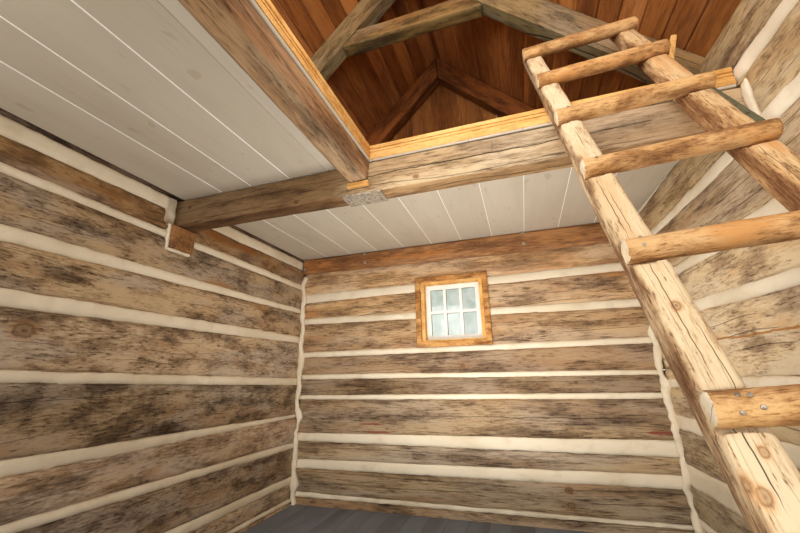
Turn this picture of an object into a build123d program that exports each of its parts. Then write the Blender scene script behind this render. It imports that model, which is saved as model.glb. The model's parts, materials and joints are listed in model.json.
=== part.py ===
from build123d import *
import math
import os

# End bay of a hewn log cabin: three chinked log walls, a loft reached by a
# log ladder, and the boarded gable roof above it. The front is left open.
# Millimetres and degrees. +X runs along the back wall, +Y towards it, +Z up.
# The origin lies on the ground, at the centre of the bay's outline.

# Room
room_width = 2822
bay_depth = 2900
right_wall_splay = 2
floor_top = 100
floor_thickness = 32
sleeper_width = 90
sleeper_count = 4

# Hewn logs
wall_thickness = 165
log_edge = 14
log_end_proud = 12
notch_slope = 0.15
chink_recess = 15
corner_bead = 16

# Each course of a wall, from the sill up. Heights are above the floor, as
# bottom and top at the wall's first end, then bottom and top at its last end.
# A side wall runs from the open front to the back corner. On a wall that is
# lower or higher than the measured one, the courses about the loft stay at
# their distance from the wall's top, and those below them are spread.
ground = -floor_top
measured_plate_top = 2380
courses_about_loft = 640
left_measured = [
    ("left_sill_log", (ground, 20), (ground, 20)),
    ("left_log_1", (40, 159), (40, 159)),
    ("left_log_2", (215, 467), (199, 424)),
    ("left_log_3", (499, 664), (458, 668)),
    ("left_log_4", (729, 1043), (681, 937)),
    ("left_log_5", (1075, 1305), (982, 1305)),
    ("left_log_6", (1370, 1558), (1354, 1581)),
    ("left_log_7", (1620, 1848), (1610, 1806)),
    ("left_log_8", (1874, 1995), (1845, 2000)),
    ("left_plate_log", (2070, measured_plate_top), (2070, measured_plate_top)),
]
right_measured = [
    ("right_sill_log", (ground, 90), (ground, 90)),
    ("right_log_1", (126, 313), (126, 313)),
    ("right_log_2", (422, 638), (422, 638)),
    ("right_log_3", (710, 945), (710, 887)),
    ("right_log_4", (1000, 1240), (933, 1317)),
    ("right_log_5", (1275, 1500), (1380, 1550)),
    ("right_log_6", (1630, 1857), (1575, 1857)),
    ("right_log_7", (1945, 2160), (1885, 2085)),
    ("right_plate_log", (2225, measured_plate_top), (2130, measured_plate_top)),
]
# The back wall runs from the left corner to the right corner.
back_measured = [
    ("back_sill_log", (ground, 58), (ground, 58)),
    ("back_log_1", (83, 270), (71, 279)),
    ("back_log_2", (327, 481), (346, 462)),
    ("back_log_3", (533, 817), (548, 817)),
    ("back_log_4", (837, 987), (842, 971)),
    ("back_log_5", (1015, 1175), (990, 1179)),
    ("back_log_6", (1210, 1475), (1212, 1437)),
    ("back_log_7", (1519, 1678), (1484, 1713)),
    ("back_log_8", (1746, 2010), (1765, 2010)),
    ("back_top_log", (2040, measured_plate_top), (2040, measured_plate_top)),
]

# Window in the back wall. Its left side is measured from the left wall, and
# its bottom from the left bottom corner of the log that it is cut into last.
window_left = 1156
window_log = "back_log_6"
window_above_log = 36
window_width = 519
window_height = 528
frame_jamb = 28
frame_sill = 24
frame_head = 36
casing_width = 48
casing_thickness = 20
sash_thickness = 40
sash_setback = 70
sash_stile = 38
sash_bar = 23
pane_columns = 3
pane_rows = 2
pane_thickness = 4

# Loft
loft_underside = 2091
loft_board = 20
loft_edge_from_back = 1413
ledger_thickness = 45
ledger_depth_left = 143
ledger_depth_right = 172
cross_beam_width = 113
cross_beam_depth = 186
beam_edge = 10
trimmer_left = 1062
trimmer_right = 1273
trimmer_depth = 122
trimmer_wane = 109
trimmer_flare = 5
cleat_length = 120
cleat_height = 25
cleat_thickness = 30
corbel_length = 160
corbel_height = 145
corbel_proud = 20
corbel_seat = 90
corbel_joint = 16
left_beam_joint = 85
right_beam_joint = 40
rear_beam_joint = 12
mortar_recess = 5
left_beam_recess = 45
trim_height = 73
trim_thickness = 35

# Roof
roof_pitch = 45
knee_height = 289
rafter_depth = 180
rafter_width = 110
rafter_seat = 82
middle_rafter_from_back = 950
front_rafter_from_front = 10
collar_above_plate = 965
collar_depth = 130
roof_board = 25
eave_overhang = 250
verge_overhang = 150
gable_board = 25

# Ladder. Its place is where its back meets the loft's edge trim. Rungs are
# measured up and down the ladder from there, and none lies under the floor.
ladder_from_right_wall = 397
ladder_lean = 26
ladder_drift = 4.3
rail_foot_width = 105
rail_foot_depth = 90
rail_top_width = 86
rail_top_depth = 76
rail_edge = 18
left_rail_offset = -235
right_rail_offset = 208
rail_top_reach = 560
rung_diameter = 72
rung_flat = 26
rung_lap = 22
rung_clearance = 2
rung_left_end = -285
rung_right_end = 262
rung_heights = [479, 123, -245, -616, -1005, -1422, -1830, -2240]

# Guard stub behind the ladder, on the loft, leaning towards the right wall
stub_side = 26
stub_length = 417
stub_lean = 16
stub_from_right_wall = 165
stub_from_edge = 123

# How far a cut runs past what it cuts, and how much longer a pole is than its
# height above the ground
cut_spare = 1
pole_stock = 1.5

# Worked out from the sizes above
plate_top = loft_underside + knee_height
outer = wall_thickness
half_room = room_width / 2
half_wall = wall_thickness / 2
inside_back = (bay_depth - outer - verge_overhang) / 2
front_cut = inside_back - bay_depth
slope = math.tan(math.radians(roof_pitch))
slant = math.tan(math.radians(right_wall_splay))
beam_front = inside_back - loft_edge_from_back
beam_back = beam_front + cross_beam_width

os.makedirs("parts", exist_ok=True)


def across(distance):
    """X of a place measured from the left wall's inner face."""
    return distance - half_room


def up(height):
    """Z of a place measured above the floor."""
    return height + floor_top


def block(x0, x1, y0, y1, z0, z1):
    """A plain rectangular solid between two corners."""
    return Pos((x0 + x1) / 2, (y0 + y1) / 2, (z0 + z1) / 2) * Box(x1 - x0, y1 - y0, z1 - z0)


def side_slab(points, x0, x1):
    """Extrude an outline of (y, z) points between two X places."""
    outline = Polyline([(0, y, z) for y, z in points], close=True)
    face = make_face(outline)
    return Pos(x0, 0, 0) * extrude(face, amount=x1 - x0, dir=(1, 0, 0))


def front_slab(points, y0, y1):
    """Extrude an outline of (x, z) points between two Y places."""
    outline = Polyline([(x, 0, z) for x, z in points], close=True)
    face = make_face(outline)
    return Pos(0, y0, 0) * extrude(face, amount=y1 - y0, dir=(0, 1, 0))


def rounded(timber, radius):
    """Round the four long edges of a timber."""
    edges = timber.edges().sort_by(SortBy.LENGTH)[-4:]
    return fillet(edges, radius)


def turned(shape):
    """Turn a piece of the right wall about its back corner, by the wall's splay."""
    corner = Pos(half_room, inside_back, 0)
    return corner * Rot(0, 0, right_wall_splay) * corner.inverse() * shape


def inside_right_wall(shape):
    """Trim a piece of the room to the inner face of the right wall."""
    wall = block(half_room, 2 * room_width, 2 * front_cut, 2 * inside_back, -room_width, 2 * room_width)
    return shape - turned(wall)


def save(name, shape):
    """Write one node as its own STEP file, every solid in it separate."""
    pieces = shape if isinstance(shape, list) else [shape]
    solids = [solid for piece in pieces for solid in piece.solids()]
    result = Compound(children=solids) if len(solids) > 1 else solids[0]
    export_step(result, "parts/" + name + ".step")
    print(name, len(solids), round(sum(s.volume for s in solids) / 1e6, 2), "litres")


# Log walls


def laid(measured):
    """The courses as they lie on a wall of this height, from those of the measured wall."""
    split_height = measured_plate_top - courses_about_loft
    spread = (plate_top - courses_about_loft) / split_height

    def height(measured_height):
        if measured_height > split_height:
            return measured_height + plate_top - measured_plate_top
        return measured_height * spread if measured_height > 0 else measured_height

    return [(name, *[tuple(map(height, end)) for end in ends]) for name, *ends in measured]


def middle(course, end):
    """Height of a log's middle at one of its ends."""
    bottom, top = course[end]
    return (bottom + top) / 2


left_courses = laid(left_measured)
right_courses = laid(right_measured)
back_courses = laid(back_measured)


def corner_stack(side_courses, back_end, x0, x1):
    """Share a corner's column out between the side and back logs in it.

    Each log's tongue is bounded by the planes where it meets the logs above
    and below. Each plane rises outward along the upper log, as the top of a
    half-dovetail does, so that the log above can't slide out."""
    entries = [(middle(c, 2), "side", c) for c in side_courses]
    entries += [(middle(c, back_end), "back", c) for c in back_courses]
    entries.sort(key=lambda entry: entry[0])
    outward = -1 if x0 < 0 else 1
    centre = ((x0 + x1) / 2, inside_back + half_wall)
    joints = []
    for lower, upper in zip(entries, entries[1:]):
        height = up((lower[0] + upper[0]) / 2)
        if upper[1] == lower[1]:
            normal = (0, 0, 1)
        elif upper[1] == "back":
            normal = (-outward * notch_slope, 0, 1)
        else:
            normal = (0, -notch_slope, 1)
        joints.append(Plane(origin=(*centre, height), z_dir=normal))
    tongues = {}
    for place, (height, wall, course) in enumerate(entries):
        end = 2 if wall == "side" else back_end
        low, high = up(course[end][0]), up(course[end][1])
        first, last = place == 0, place == len(entries) - 1
        low = low if first else 0
        high = high if last else up(plate_top)
        if wall == "side":
            column = block(x0, x1, inside_back, inside_back + outer + log_end_proud, low, high)
        else:
            reach = sorted((centre[0] - outward * half_wall,
                            centre[0] + outward * (half_wall + log_end_proud)))
            column = block(*reach, inside_back, inside_back + outer, low, high)
        if not first:
            column = split(column, joints[place - 1], keep=Keep.TOP)
        if not last:
            column = split(column, joints[place], keep=Keep.BOTTOM)
        tongues[course[0]] = column
    return tongues


def in_bay(shape, x0):
    """Set a side wall's piece in its place, cut square at the front and the corner."""
    placed = shape if x0 < 0 else turned(shape)
    return placed & block(-room_width, room_width, front_cut, inside_back, 0, 2 * up(plate_top))


def side_outline(front, back):
    """A side wall's outline from a (bottom, top) at the front and one at the corner."""
    spare = wall_thickness * slant
    return [(front_cut - spare, up(front[0])), (inside_back + spare, up(back[0])),
            (inside_back + spare, up(back[1])), (front_cut - spare, up(front[1]))]


def side_log(course, x0, x1):
    """The body of a side wall's log, from the open front to the corner."""
    log = rounded(side_slab(side_outline(*course[1:]), x0, x1), log_edge)
    return in_bay(log, x0)


def back_log(course):
    """The body of a back wall's log, from corner to corner."""
    (b0, t0), (b1, t1) = course[1:]
    points = [(-half_room, up(b0)), (half_room, up(b1)), (half_room, up(t1)), (-half_room, up(t0))]
    return rounded(front_slab(points, inside_back, inside_back + outer), log_edge)


def side_chinking(courses, x0, x1):
    """The mortar strips between a side wall's logs."""
    strips = []
    for lower, upper in zip(courses, courses[1:]):
        front, back = [(lower[end][1], upper[end][0]) for end in (1, 2)]
        points = side_outline(front, back)
        strips.append(in_bay(side_slab(points, x0 + chink_recess, x1 - chink_recess), x0))
    return strips


def back_chinking():
    """The mortar strips between the back wall's logs."""
    strips = []
    for lower, upper in zip(back_courses, back_courses[1:]):
        points = [(-half_room, up(lower[1][1])), (half_room, up(lower[2][1])),
                  (half_room, up(upper[2][0])), (-half_room, up(upper[1][0]))]
        strips.append(front_slab(points, inside_back + chink_recess,
                                 inside_back + outer - chink_recess))
    return strips


def cut_all(shapes, tools):
    """Cut every tool from every shape that it reaches."""
    result = []
    for shape in shapes:
        for tool in tools:
            shape = shape - tool
        result.append(shape)
    return result


left_x = (-half_room - outer, -half_room)
right_x = (half_room, half_room + outer)
left_tongues = corner_stack(left_courses, 1, *left_x)
right_tongues = corner_stack(right_courses, 2, *right_x)

beam_top = up(loft_underside)
beam_bottom = beam_top - cross_beam_depth
beam_left_end = -half_room - outer - log_end_proud
beam_right_end = half_room + outer + log_end_proud + slant * loft_edge_from_back
corbel_back = beam_back
corbel_front = corbel_back - corbel_length
corbel_bottom = beam_bottom - corbel_height
corbel_inner = -half_room - corbel_seat
corbel_pocket = block(corbel_inner, -half_room, corbel_front - corbel_joint, corbel_back,
                      corbel_bottom - corbel_joint, beam_bottom)
window_x0 = across(window_left)
window_x1 = window_x0 + window_width
window_log_ends = {name: ends for name, *ends in back_courses}[window_log]
window_z0 = up(window_log_ends[0][0]) + window_above_log
window_z1 = window_z0 + window_height
window_hole = block(window_x0, window_x1, inside_back - outer, inside_back + 2 * outer,
                    window_z0, window_z1)



def beam_pocket(joint):
    """The space in a side wall for the cross beam and its mortar joints."""
    return block(-2 * half_room, 2 * half_room, beam_front - joint, beam_back + rear_beam_joint,
                 beam_bottom, beam_top)


walls = (("left", left_courses, left_x, left_tongues, [beam_pocket(left_beam_joint), corbel_pocket]),
         ("right", right_courses, right_x, right_tongues, [beam_pocket(right_beam_joint)]))
for wall, courses, x_range, tongues, cutters in walls:
    for course in courses:
        log = side_log(course, *x_range) + tongues[course[0]]
        save(course[0], cut_all([log], cutters)[0])
    save(wall + "_chinking", cut_all(side_chinking(courses, *x_range), cutters))

for course in back_courses:
    log = back_log(course) + left_tongues[course[0]] + right_tongues[course[0]]
    save(course[0], log - window_hole)
save("back_chinking", cut_all(back_chinking(), [window_hole]))


# Floor


def floor_boards():
    """The floor's boards as one deck between the walls."""
    deck = block(-half_room, room_width, front_cut, inside_back, floor_top - floor_thickness, floor_top)
    return inside_right_wall(deck)


def floor_sleepers():
    """The timbers that carry the floor, bedded on the ground between the sills."""
    first = front_cut + sleeper_width
    last = inside_back - 2 * sleeper_width
    step = (last - first) / (sleeper_count - 1)
    sleepers = []
    for place in range(sleeper_count):
        y0 = first + place * step
        sleeper = block(-half_room, room_width, y0, y0 + sleeper_width, 0, floor_top - floor_thickness)
        sleepers.append(inside_right_wall(sleeper))
    return sleepers


save("floor_boards", floor_boards())
save("floor_sleepers", floor_sleepers())


# Window


def window_frame():
    """The box of boards that lines the opening through the wall."""
    y0 = inside_back
    y1 = inside_back + outer
    box = block(window_x0, window_x1, y0, y1, window_z0, window_z1)
    return box - block(window_x0 + frame_jamb, window_x1 - frame_jamb, y0 - cut_spare,
                       y1 + cut_spare, window_z0 + frame_sill, window_z1 - frame_head)


def window_casing():
    """Flat boards round the opening, on the inner and outer faces."""
    x0, x1 = window_x0 - casing_width, window_x1 + casing_width
    z0, z1 = window_z0 + frame_sill / 2 - casing_width, window_z1 - frame_head / 2 + casing_width
    rings = []
    for y in (inside_back - casing_thickness, inside_back + outer):
        head = block(x0, x1, y, y + casing_thickness, z1 - casing_width, z1)
        sill = block(x0, x1, y, y + casing_thickness, z0, z0 + casing_width)
        left = block(x0, x0 + casing_width, y, y + casing_thickness, z0 + casing_width,
                     z1 - casing_width)
        right = Pos(x1 - x0 - casing_width, 0, 0) * left
        rings.append(head + sill + left + right)
    return rings


sash_x0, sash_x1 = window_x0 + frame_jamb, window_x1 - frame_jamb
sash_z0, sash_z1 = window_z0 + frame_sill, window_z1 - frame_head
sash_y = inside_back + sash_setback
pane_width = (sash_x1 - sash_x0 - 2 * sash_stile - (pane_columns - 1) * sash_bar) / pane_columns
pane_height = (sash_z1 - sash_z0 - 2 * sash_stile - (pane_rows - 1) * sash_bar) / pane_rows


def pane_blocks(y0, y1):
    """The spaces of the panes between two Y places."""
    blocks = []
    for column in range(pane_columns):
        for row in range(pane_rows):
            x = sash_x0 + sash_stile + column * (pane_width + sash_bar)
            z = sash_z0 + sash_stile + row * (pane_height + sash_bar)
            blocks.append(block(x, x + pane_width, y0, y1, z, z + pane_height))
    return blocks


def window_sash():
    """The sash with its glazing bars."""
    sash = block(sash_x0, sash_x1, sash_y, sash_y + sash_thickness, sash_z0, sash_z1)
    for hole in pane_blocks(sash_y - cut_spare, sash_y + sash_thickness + cut_spare):
        sash -= hole
    return sash


pane_y = sash_y + (sash_thickness - pane_thickness) / 2
save("window_frame", window_frame())
save("window_casing", window_casing())
save("window_sash", window_sash())
save("window_panes", pane_blocks(pane_y, pane_y + pane_thickness))


# Loft


def cross_beam():
    """The hewn beam at the loft's edge, seated through both side walls."""
    beam = block(beam_left_end, beam_right_end, beam_front, beam_back, beam_bottom, beam_top)
    return rounded(beam, beam_edge)


def trimmer_beam():
    """The beam along the loft's left strip, with the wane of its log on one side."""
    points = [(across(trimmer_left), beam_top),
              (across(trimmer_left + trimmer_wane), beam_top - trimmer_depth),
              (across(trimmer_right - trimmer_flare), beam_top - trimmer_depth),
              (across(trimmer_right), beam_top)]
    return front_slab(points, front_cut, beam_front)


def back_ledger():
    """The board on the back wall that carries the loft boards' ends."""
    points = [(-half_room, beam_top), (half_room, beam_top),
              (half_room, beam_top - ledger_depth_right), (-half_room, beam_top - ledger_depth_left)]
    return front_slab(points, inside_back - ledger_thickness, inside_back)


def loft_boards():
    """The loft's deck: the back of the room, and a strip along the left wall."""
    back = block(-half_room, room_width, beam_front, inside_back, beam_top, beam_top + loft_board)
    back = inside_right_wall(back)
    strip = block(-half_room, across(trimmer_right), front_cut, beam_front, beam_top,
                  beam_top + loft_board)
    return back + strip


def edge_trim():
    """The pale trim on the boards' edges, along the cross beam and the trimmer."""
    z0 = beam_top + loft_board
    inner = across(trimmer_right)
    back = inside_right_wall(block(inner - trim_thickness, room_width, beam_front,
                                   beam_front + trim_thickness, z0, z0 + trim_height))
    side = block(inner - trim_thickness, inner, front_cut, beam_front, z0, z0 + trim_height)
    return back + side


def beam_mortar():
    """The mortar round the cross beam's ends, and round the corbel."""
    pieces = []
    for (x0, x1), joint in ((left_x, left_beam_joint), (right_x, right_beam_joint)):
        x0 += mortar_recess
        x1 -= left_beam_recess if x1 < 0 else mortar_recess
        for y0, y1 in ((beam_front - joint, beam_front), (beam_back, beam_back + rear_beam_joint)):
            core = in_bay(block(x0, x1, front_cut, inside_back, beam_bottom, beam_top), x0)
            pieces.append(core & block(-room_width, room_width, y0, y1, beam_bottom, beam_top))
    bed = block(corbel_inner, -half_room - mortar_recess, corbel_front - corbel_joint, corbel_back,
                corbel_bottom - corbel_joint, corbel_bottom)
    side = block(corbel_inner, -half_room - mortar_recess, corbel_front - corbel_joint, corbel_front,
                 corbel_bottom, beam_bottom)
    pieces.append(bed + side)
    return pieces


def corbel():
    """The block let into the left wall under the cross beam."""
    return block(corbel_inner, -half_room + corbel_proud, corbel_front, corbel_back,
                 corbel_bottom, beam_bottom)


def beam_cleat():
    """The small block on the cross beam that the trimmer's end rests on."""
    x1 = across(trimmer_right)
    z1 = beam_top - trimmer_depth
    return block(x1 - cleat_length, x1, beam_front - cleat_thickness, beam_front,
                 z1 - cleat_height, z1)


def corner_mortar():
    """The bead of mortar down both inner corners, below the ledger."""
    top = beam_top - max(ledger_depth_left, ledger_depth_right)
    beads = []
    for x0 in (-half_room, half_room - corner_bead):
        beads.append(block(x0, x0 + corner_bead, inside_back - corner_bead, inside_back,
                           floor_top, top))
    return beads


def guard_stub():
    """The short post that leans on the loft behind the right rail, its foot cut level."""
    deck = beam_top + loft_board
    foot = Pos(half_room - stub_from_right_wall, beam_front + stub_from_edge, deck)
    half = stub_side / 2
    post = foot * Rot(0, stub_lean, 0) * block(-half, half, -half, half, -stub_side, stub_length)
    return post - block(-room_width, room_width, beam_front, inside_back, beam_bottom, deck)


save("cross_beam", cross_beam())
save("trimmer_beam", trimmer_beam())
save("back_ledger", back_ledger())
save("loft_boards", loft_boards())
save("loft_edge_trim", edge_trim())
save("beam_and_corner_mortar", beam_mortar() + corner_mortar())
save("corbel_block", corbel())
save("beam_cleat", beam_cleat())
save("guard_stub", guard_stub())


# Roof


rafter_rise = rafter_depth / math.cos(math.radians(roof_pitch))
board_rise = roof_board / math.cos(math.radians(roof_pitch))
eave_x = half_room + outer + eave_overhang


def rafter_line(x):
    """Height of the rafters' underside at a distance from the ridge's plane."""
    return up(plate_top) + slope * (half_room + outer - rafter_seat - x)


def slope_band(bottom, top, reach):
    """Outline of a band that follows the left slope, from the eave to the ridge.

    bottom and top are its vertical distances above the rafters' underside."""
    eave, ridge = rafter_line(reach), rafter_line(0)
    return [(-reach, eave + bottom), (0, ridge + bottom), (0, ridge + top), (-reach, eave + top)]


def rafter(y0, side):
    """One rafter, notched over the plate log. side is -1 on the left, 1 on the right."""
    points = [(-side * x, z) for x, z in slope_band(0, rafter_rise, eave_x)]
    beam = front_slab(points, y0, y0 + rafter_width)
    x0, x1 = left_x if side < 0 else right_x
    plate = block(x0, x1, 2 * front_cut, inside_back, floor_top, up(plate_top))
    corner = block(x0, x1, inside_back, 2 * inside_back, floor_top, up(plate_top))
    return beam - (plate if side < 0 else turned(plate)) - corner


def roof_boards(side):
    """The boards of one slope as one deck."""
    points = [(-side * x, z) for x, z in slope_band(rafter_rise, rafter_rise + board_rise, eave_x)]
    return front_slab(points, front_cut, inside_back + outer + verge_overhang)


def collar_tie():
    """The tie between the middle rafters, cut to their undersides."""
    z0 = up(plate_top) + collar_above_plate
    z1 = z0 + collar_depth
    y0 = middle_rafter_y
    low, high = [(rafter_line(0) - z) / slope for z in (z0, z1)]
    points = [(-low, z0), (low, z0), (high, z1), (-high, z1)]
    return front_slab(points, y0, y0 + rafter_width)


def gable_boards():
    """The upright boards that close the gable above the back wall's top log."""
    y1 = inside_back + outer
    peak = slope_band(0, rafter_rise, half_room + outer)
    apex = peak[2][1]
    foot = peak[3][1]
    z0 = up(plate_top)
    points = [(-half_room - outer, z0), (half_room + outer, z0), (half_room + outer, foot),
              (0, apex), (-half_room - outer, foot)]
    return front_slab(points, y1 - gable_board, y1)


gable_rafter_y = inside_back
middle_rafter_y = inside_back - middle_rafter_from_back - rafter_width
front_rafter_y = front_cut + front_rafter_from_front
for name, side in (("left", -1), ("right", 1)):
    places = (front_rafter_y, middle_rafter_y, gable_rafter_y)
    save(name + "_rafters", [rafter(y0, side) for y0 in places])
    save(name + "_roof_boards", roof_boards(side))
save("collar_tie", collar_tie())
save("gable_boards", gable_boards())


# Ladder


def ladder_plane():
    """The plane of the ladder's back: X across it, Y up along it, Z towards the climber."""
    lean = math.radians(ladder_lean)
    drift = math.radians(ladder_drift)
    rise = Vector(0, math.sin(lean), math.cos(lean))
    level = Vector(1, 0, 0)
    side = level * math.cos(drift) + rise * math.sin(drift)
    out = Vector(0, -math.cos(lean), math.sin(lean))
    origin = (half_room - ladder_from_right_wall, beam_front, beam_top + loft_board + trim_height)
    return Plane(origin=origin, x_dir=side, z_dir=out)


ladder = ladder_plane()
rail_length = pole_stock * (rail_top_reach + beam_top)
rung_radius = rung_diameter / 2
lowest_rung = (floor_top + rung_diameter - ladder.origin.Z) / ladder.y_dir.Z
rung_places = [height for height in rung_heights if height > lowest_rung]


def rail_section(width, depth, offset, height):
    """A hewn pole's section at one height, flat at the back of the ladder."""
    station = Plane(origin=(offset, height, depth / 2), x_dir=(1, 0, 0), z_dir=(0, 1, 0))
    return station * RectangleRounded(width, depth, rail_edge)


def rail_depth_at(height):
    """How thick a rail is at a height up the ladder."""
    foot = rail_top_reach - rail_length
    share = (height - foot) / rail_length
    return rail_foot_depth + (rail_top_depth - rail_foot_depth) * share


def rung_seat(height):
    """How far the flat seat of a rung lies in front of the rails' backs."""
    return rail_depth_at(height) - rung_lap


def rail(offset):
    """One rail, tapered, notched for every rung and cut level at the floor."""
    foot = rail_top_reach - rail_length
    pole = loft([rail_section(rail_foot_width, rail_foot_depth, offset, foot),
                 rail_section(rail_top_width, rail_top_depth, offset, rail_top_reach)])
    half = rung_radius + rung_clearance
    for height in rung_places:
        pole -= block(offset - rail_foot_width, offset + rail_foot_width, height - half,
                      height + half, rung_seat(height), 2 * rail_foot_depth)
    pole = ladder * pole
    ground = block(-2 * half_room, 2 * half_room, 2 * front_cut, 2 * inside_back, -rail_length, floor_top)
    return pole - ground


def rung(height):
    """One round rung, flattened where it laps the rails."""
    length = rung_right_end - rung_left_end
    seat = rung_seat(height)
    centre = Vector((rung_left_end + rung_right_end) / 2, height, seat + rung_flat)
    bar = Pos(*centre) * Rot(0, 90, 0) * Cylinder(rung_radius, length)
    inner_left = left_rail_offset + rail_foot_width / 2 + rung_clearance
    inner_right = right_rail_offset - rail_foot_width / 2 - rung_clearance
    for x0, x1 in ((rung_left_end - cut_spare, inner_left), (inner_right, rung_right_end + cut_spare)):
        bar -= block(x0, x1, height - rung_diameter, height + rung_diameter,
                     seat - rung_diameter, seat)
    return ladder * bar


save("ladder_left_rail", rail(left_rail_offset))
save("ladder_right_rail", rail(right_rail_offset))
save("ladder_rungs", [rung(height) for height in rung_places])
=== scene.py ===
import bpy
import json
import math
import random
from copy import copy
from mathutils import Matrix, Vector


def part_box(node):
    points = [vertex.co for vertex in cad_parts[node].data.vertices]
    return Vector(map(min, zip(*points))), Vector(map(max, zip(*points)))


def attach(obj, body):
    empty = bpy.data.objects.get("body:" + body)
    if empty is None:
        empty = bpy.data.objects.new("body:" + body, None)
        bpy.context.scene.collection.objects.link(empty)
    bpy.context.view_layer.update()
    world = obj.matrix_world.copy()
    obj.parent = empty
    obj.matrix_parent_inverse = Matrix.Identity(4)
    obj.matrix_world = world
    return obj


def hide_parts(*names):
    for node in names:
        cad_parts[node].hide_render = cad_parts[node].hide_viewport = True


# Finishes and fine shapes of a log cabin's end bay. Metres, +Z up, +Y towards
# the back wall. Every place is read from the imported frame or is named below.

bl_info = {
    "name": "Log Cabin End Bay",
    "version": (1, 0, 0),
    "blender": (4, 5, 0),
    "location": "View3D > Sidebar > Cabin",
    "description": "Hewn logs, mortar, boards, window, loft and ladder of a log cabin's end bay",
    "category": "Object",
}

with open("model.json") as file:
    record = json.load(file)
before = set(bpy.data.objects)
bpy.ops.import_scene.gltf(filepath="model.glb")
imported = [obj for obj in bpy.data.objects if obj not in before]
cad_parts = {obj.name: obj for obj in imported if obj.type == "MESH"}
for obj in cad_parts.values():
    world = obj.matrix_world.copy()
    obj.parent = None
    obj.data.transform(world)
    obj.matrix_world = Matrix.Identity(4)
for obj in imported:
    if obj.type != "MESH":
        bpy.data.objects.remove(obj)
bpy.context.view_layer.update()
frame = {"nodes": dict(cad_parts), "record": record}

# Places read from the frame
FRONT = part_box("left_sill_log")[0].y
BACK_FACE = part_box("back_top_log")[0].y
LEFT_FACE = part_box("left_log_4")[1].x
RIGHT_FACE = -LEFT_FACE
LOFT_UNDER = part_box("loft_boards")[0].z
BEAM_LOW, BEAM_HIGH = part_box("cross_beam")
RIDGE_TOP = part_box("left_roof_boards")[1].z
EAVE_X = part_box("right_roof_boards")[1].x

# The ladder's plane: its origin on the edge trim, and the directions across, out of and up it
LEAN, DRIFT = math.radians(26), math.radians(4.3)
LADDER_X = 1.014
LADDER_ORIGIN = Vector((LADDER_X, BEAM_LOW.y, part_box("loft_edge_trim")[1].z))
LADDER_SIDE = (Vector((math.cos(DRIFT), 0.0, 0.0))
               + Vector((0.0, math.sin(LEAN), math.cos(LEAN))) * math.sin(DRIFT))
LADDER_OUT = Vector((0.0, -math.cos(LEAN), math.sin(LEAN)))
LADDER_UP = LADDER_OUT.cross(LADDER_SIDE)

SEED = 11
ALONG_X = (0.0, 0.0, 0.0)
ALONG_Y = (0.0, 0.0, math.radians(-90))
ALONG_Z = (0.0, math.radians(90), 0.0)
ALONG_RAIL = tuple(Matrix((LADDER_UP, -LADDER_OUT, -LADDER_SIDE)).to_euler("XYZ"))
ALONG_RUNG = tuple(Matrix((LADDER_SIDE, -LADDER_OUT, LADDER_UP)).to_euler("XYZ"))

# Sizes of the ladder's solids. Heights lie up the ladder from its origin, and the offsets of the
# rails' centre lines and of the rungs' left ends lie across it.
LEFT_RAIL_OFFSET, RIGHT_RAIL_OFFSET = -0.235, 0.208
RUNG_LEFT_END = -0.285
RUNG_CENTRE_OFF_SEAT, RUNG_SKIN = 0.026, 0.0335
RAIL_STOCK_FOOT, RAIL_STOCK_LENGTH = -3.5665, 4.1265
RAIL_FOOT_DEPTH, RAIL_THINNING, RUNG_LAP = 0.090, 0.014, 0.022

# The roof's pitch, the thickness of its boards, and how far off the ridge each slope's first
# joint lies
PITCH = math.radians(45)
ROOF_THICKNESS = 0.025
FIRST_ROOF_JOINT = {-1: 0.049, 1: 0.0774}

# The bevels and gaps of the roof's boards, and how far a row runs past the ridge and the eave
# before it is sawn there
ROOF_BEVEL, GABLE_BEVEL, ROOF_GAP = 0.006, 0.003, 0.0014
PAST_RIDGE, PAST_EAVE = 0.05, 0.03

# Joints of the loft's boards, as the photo shows them
BACK_JOINTS = [-1.1516 + 0.2556 * step for step in range(10)]
STRIP_JOINTS = [-1.111, -0.896, -0.636, -0.40]

# The seams' white, partly paint and partly a painted highlight of the light that the grooves' edges
# catch: how far it hangs below the boards, how deep it goes in, how far from the back wall it ends
# inside the ledger, and how much narrower it is behind the cross beam
SEAM_PROUD, SEAM_DEPTH, SEAM_END, BACK_SEAM_SHARE = 0.0012, 0.004, 0.04, 0.6

# The mortar's fine shapes: the faces of the beads, how far from the back wall they count as corner
# beads, and what the spread leaves to the roughness
BEAD_GRID, CORNER_REACH, SPREAD_LESS = 0.006, 0.2, 0.003

# The trim's thickness, how far its lip hangs below it and the lip's slope, and its bands: where
# each ends, in thirds of its height, and how proud it stands
TRIM_THICKNESS, TRIM_LIP, LIP_SLOPE = 0.035, 0.010, 0.7
TRIM_BANDS = ((1.0, 0.003), (1.4, -0.002), (1.8, 0.001), (2.1, -0.002), (3.0, 0.003))

# The camera that the photo was taken with: its place, and its yaw, pitch and roll in degrees
CAMERA_PLACE = (0.524, -1.7075, 1.105)
CAMERA_TURN = (17.75, 16.33, -1.30)

ALMOST_BLACK = (0.012, 0.008, 0.005, 1.0)
JOINT_BROWN = (30, 14, 7)


def paint(red, green, blue):
    """A colour given as 0 to 255 on a screen, as the light values that shaders use."""
    channels = []
    for value in (red, green, blue):
        share = value / 255
        channels.append(share / 12.92 if share <= 0.04045 else ((share + 0.055) / 1.055) ** 2.4)
    return (*channels, 1.0)


# Sizes and colours that a user would change


def length(name, text, default, **more):
    """A length property in metres."""
    return bpy.props.FloatProperty(name=name, description=text, default=default,
                                   unit="LENGTH", **more)


def colour(name, text, default):
    """A colour property."""
    return bpy.props.FloatVectorProperty(name=name, description=text, default=paint(*default)[:3],
                                         subtype="COLOR", size=3, min=0.0, max=1.0)


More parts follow.
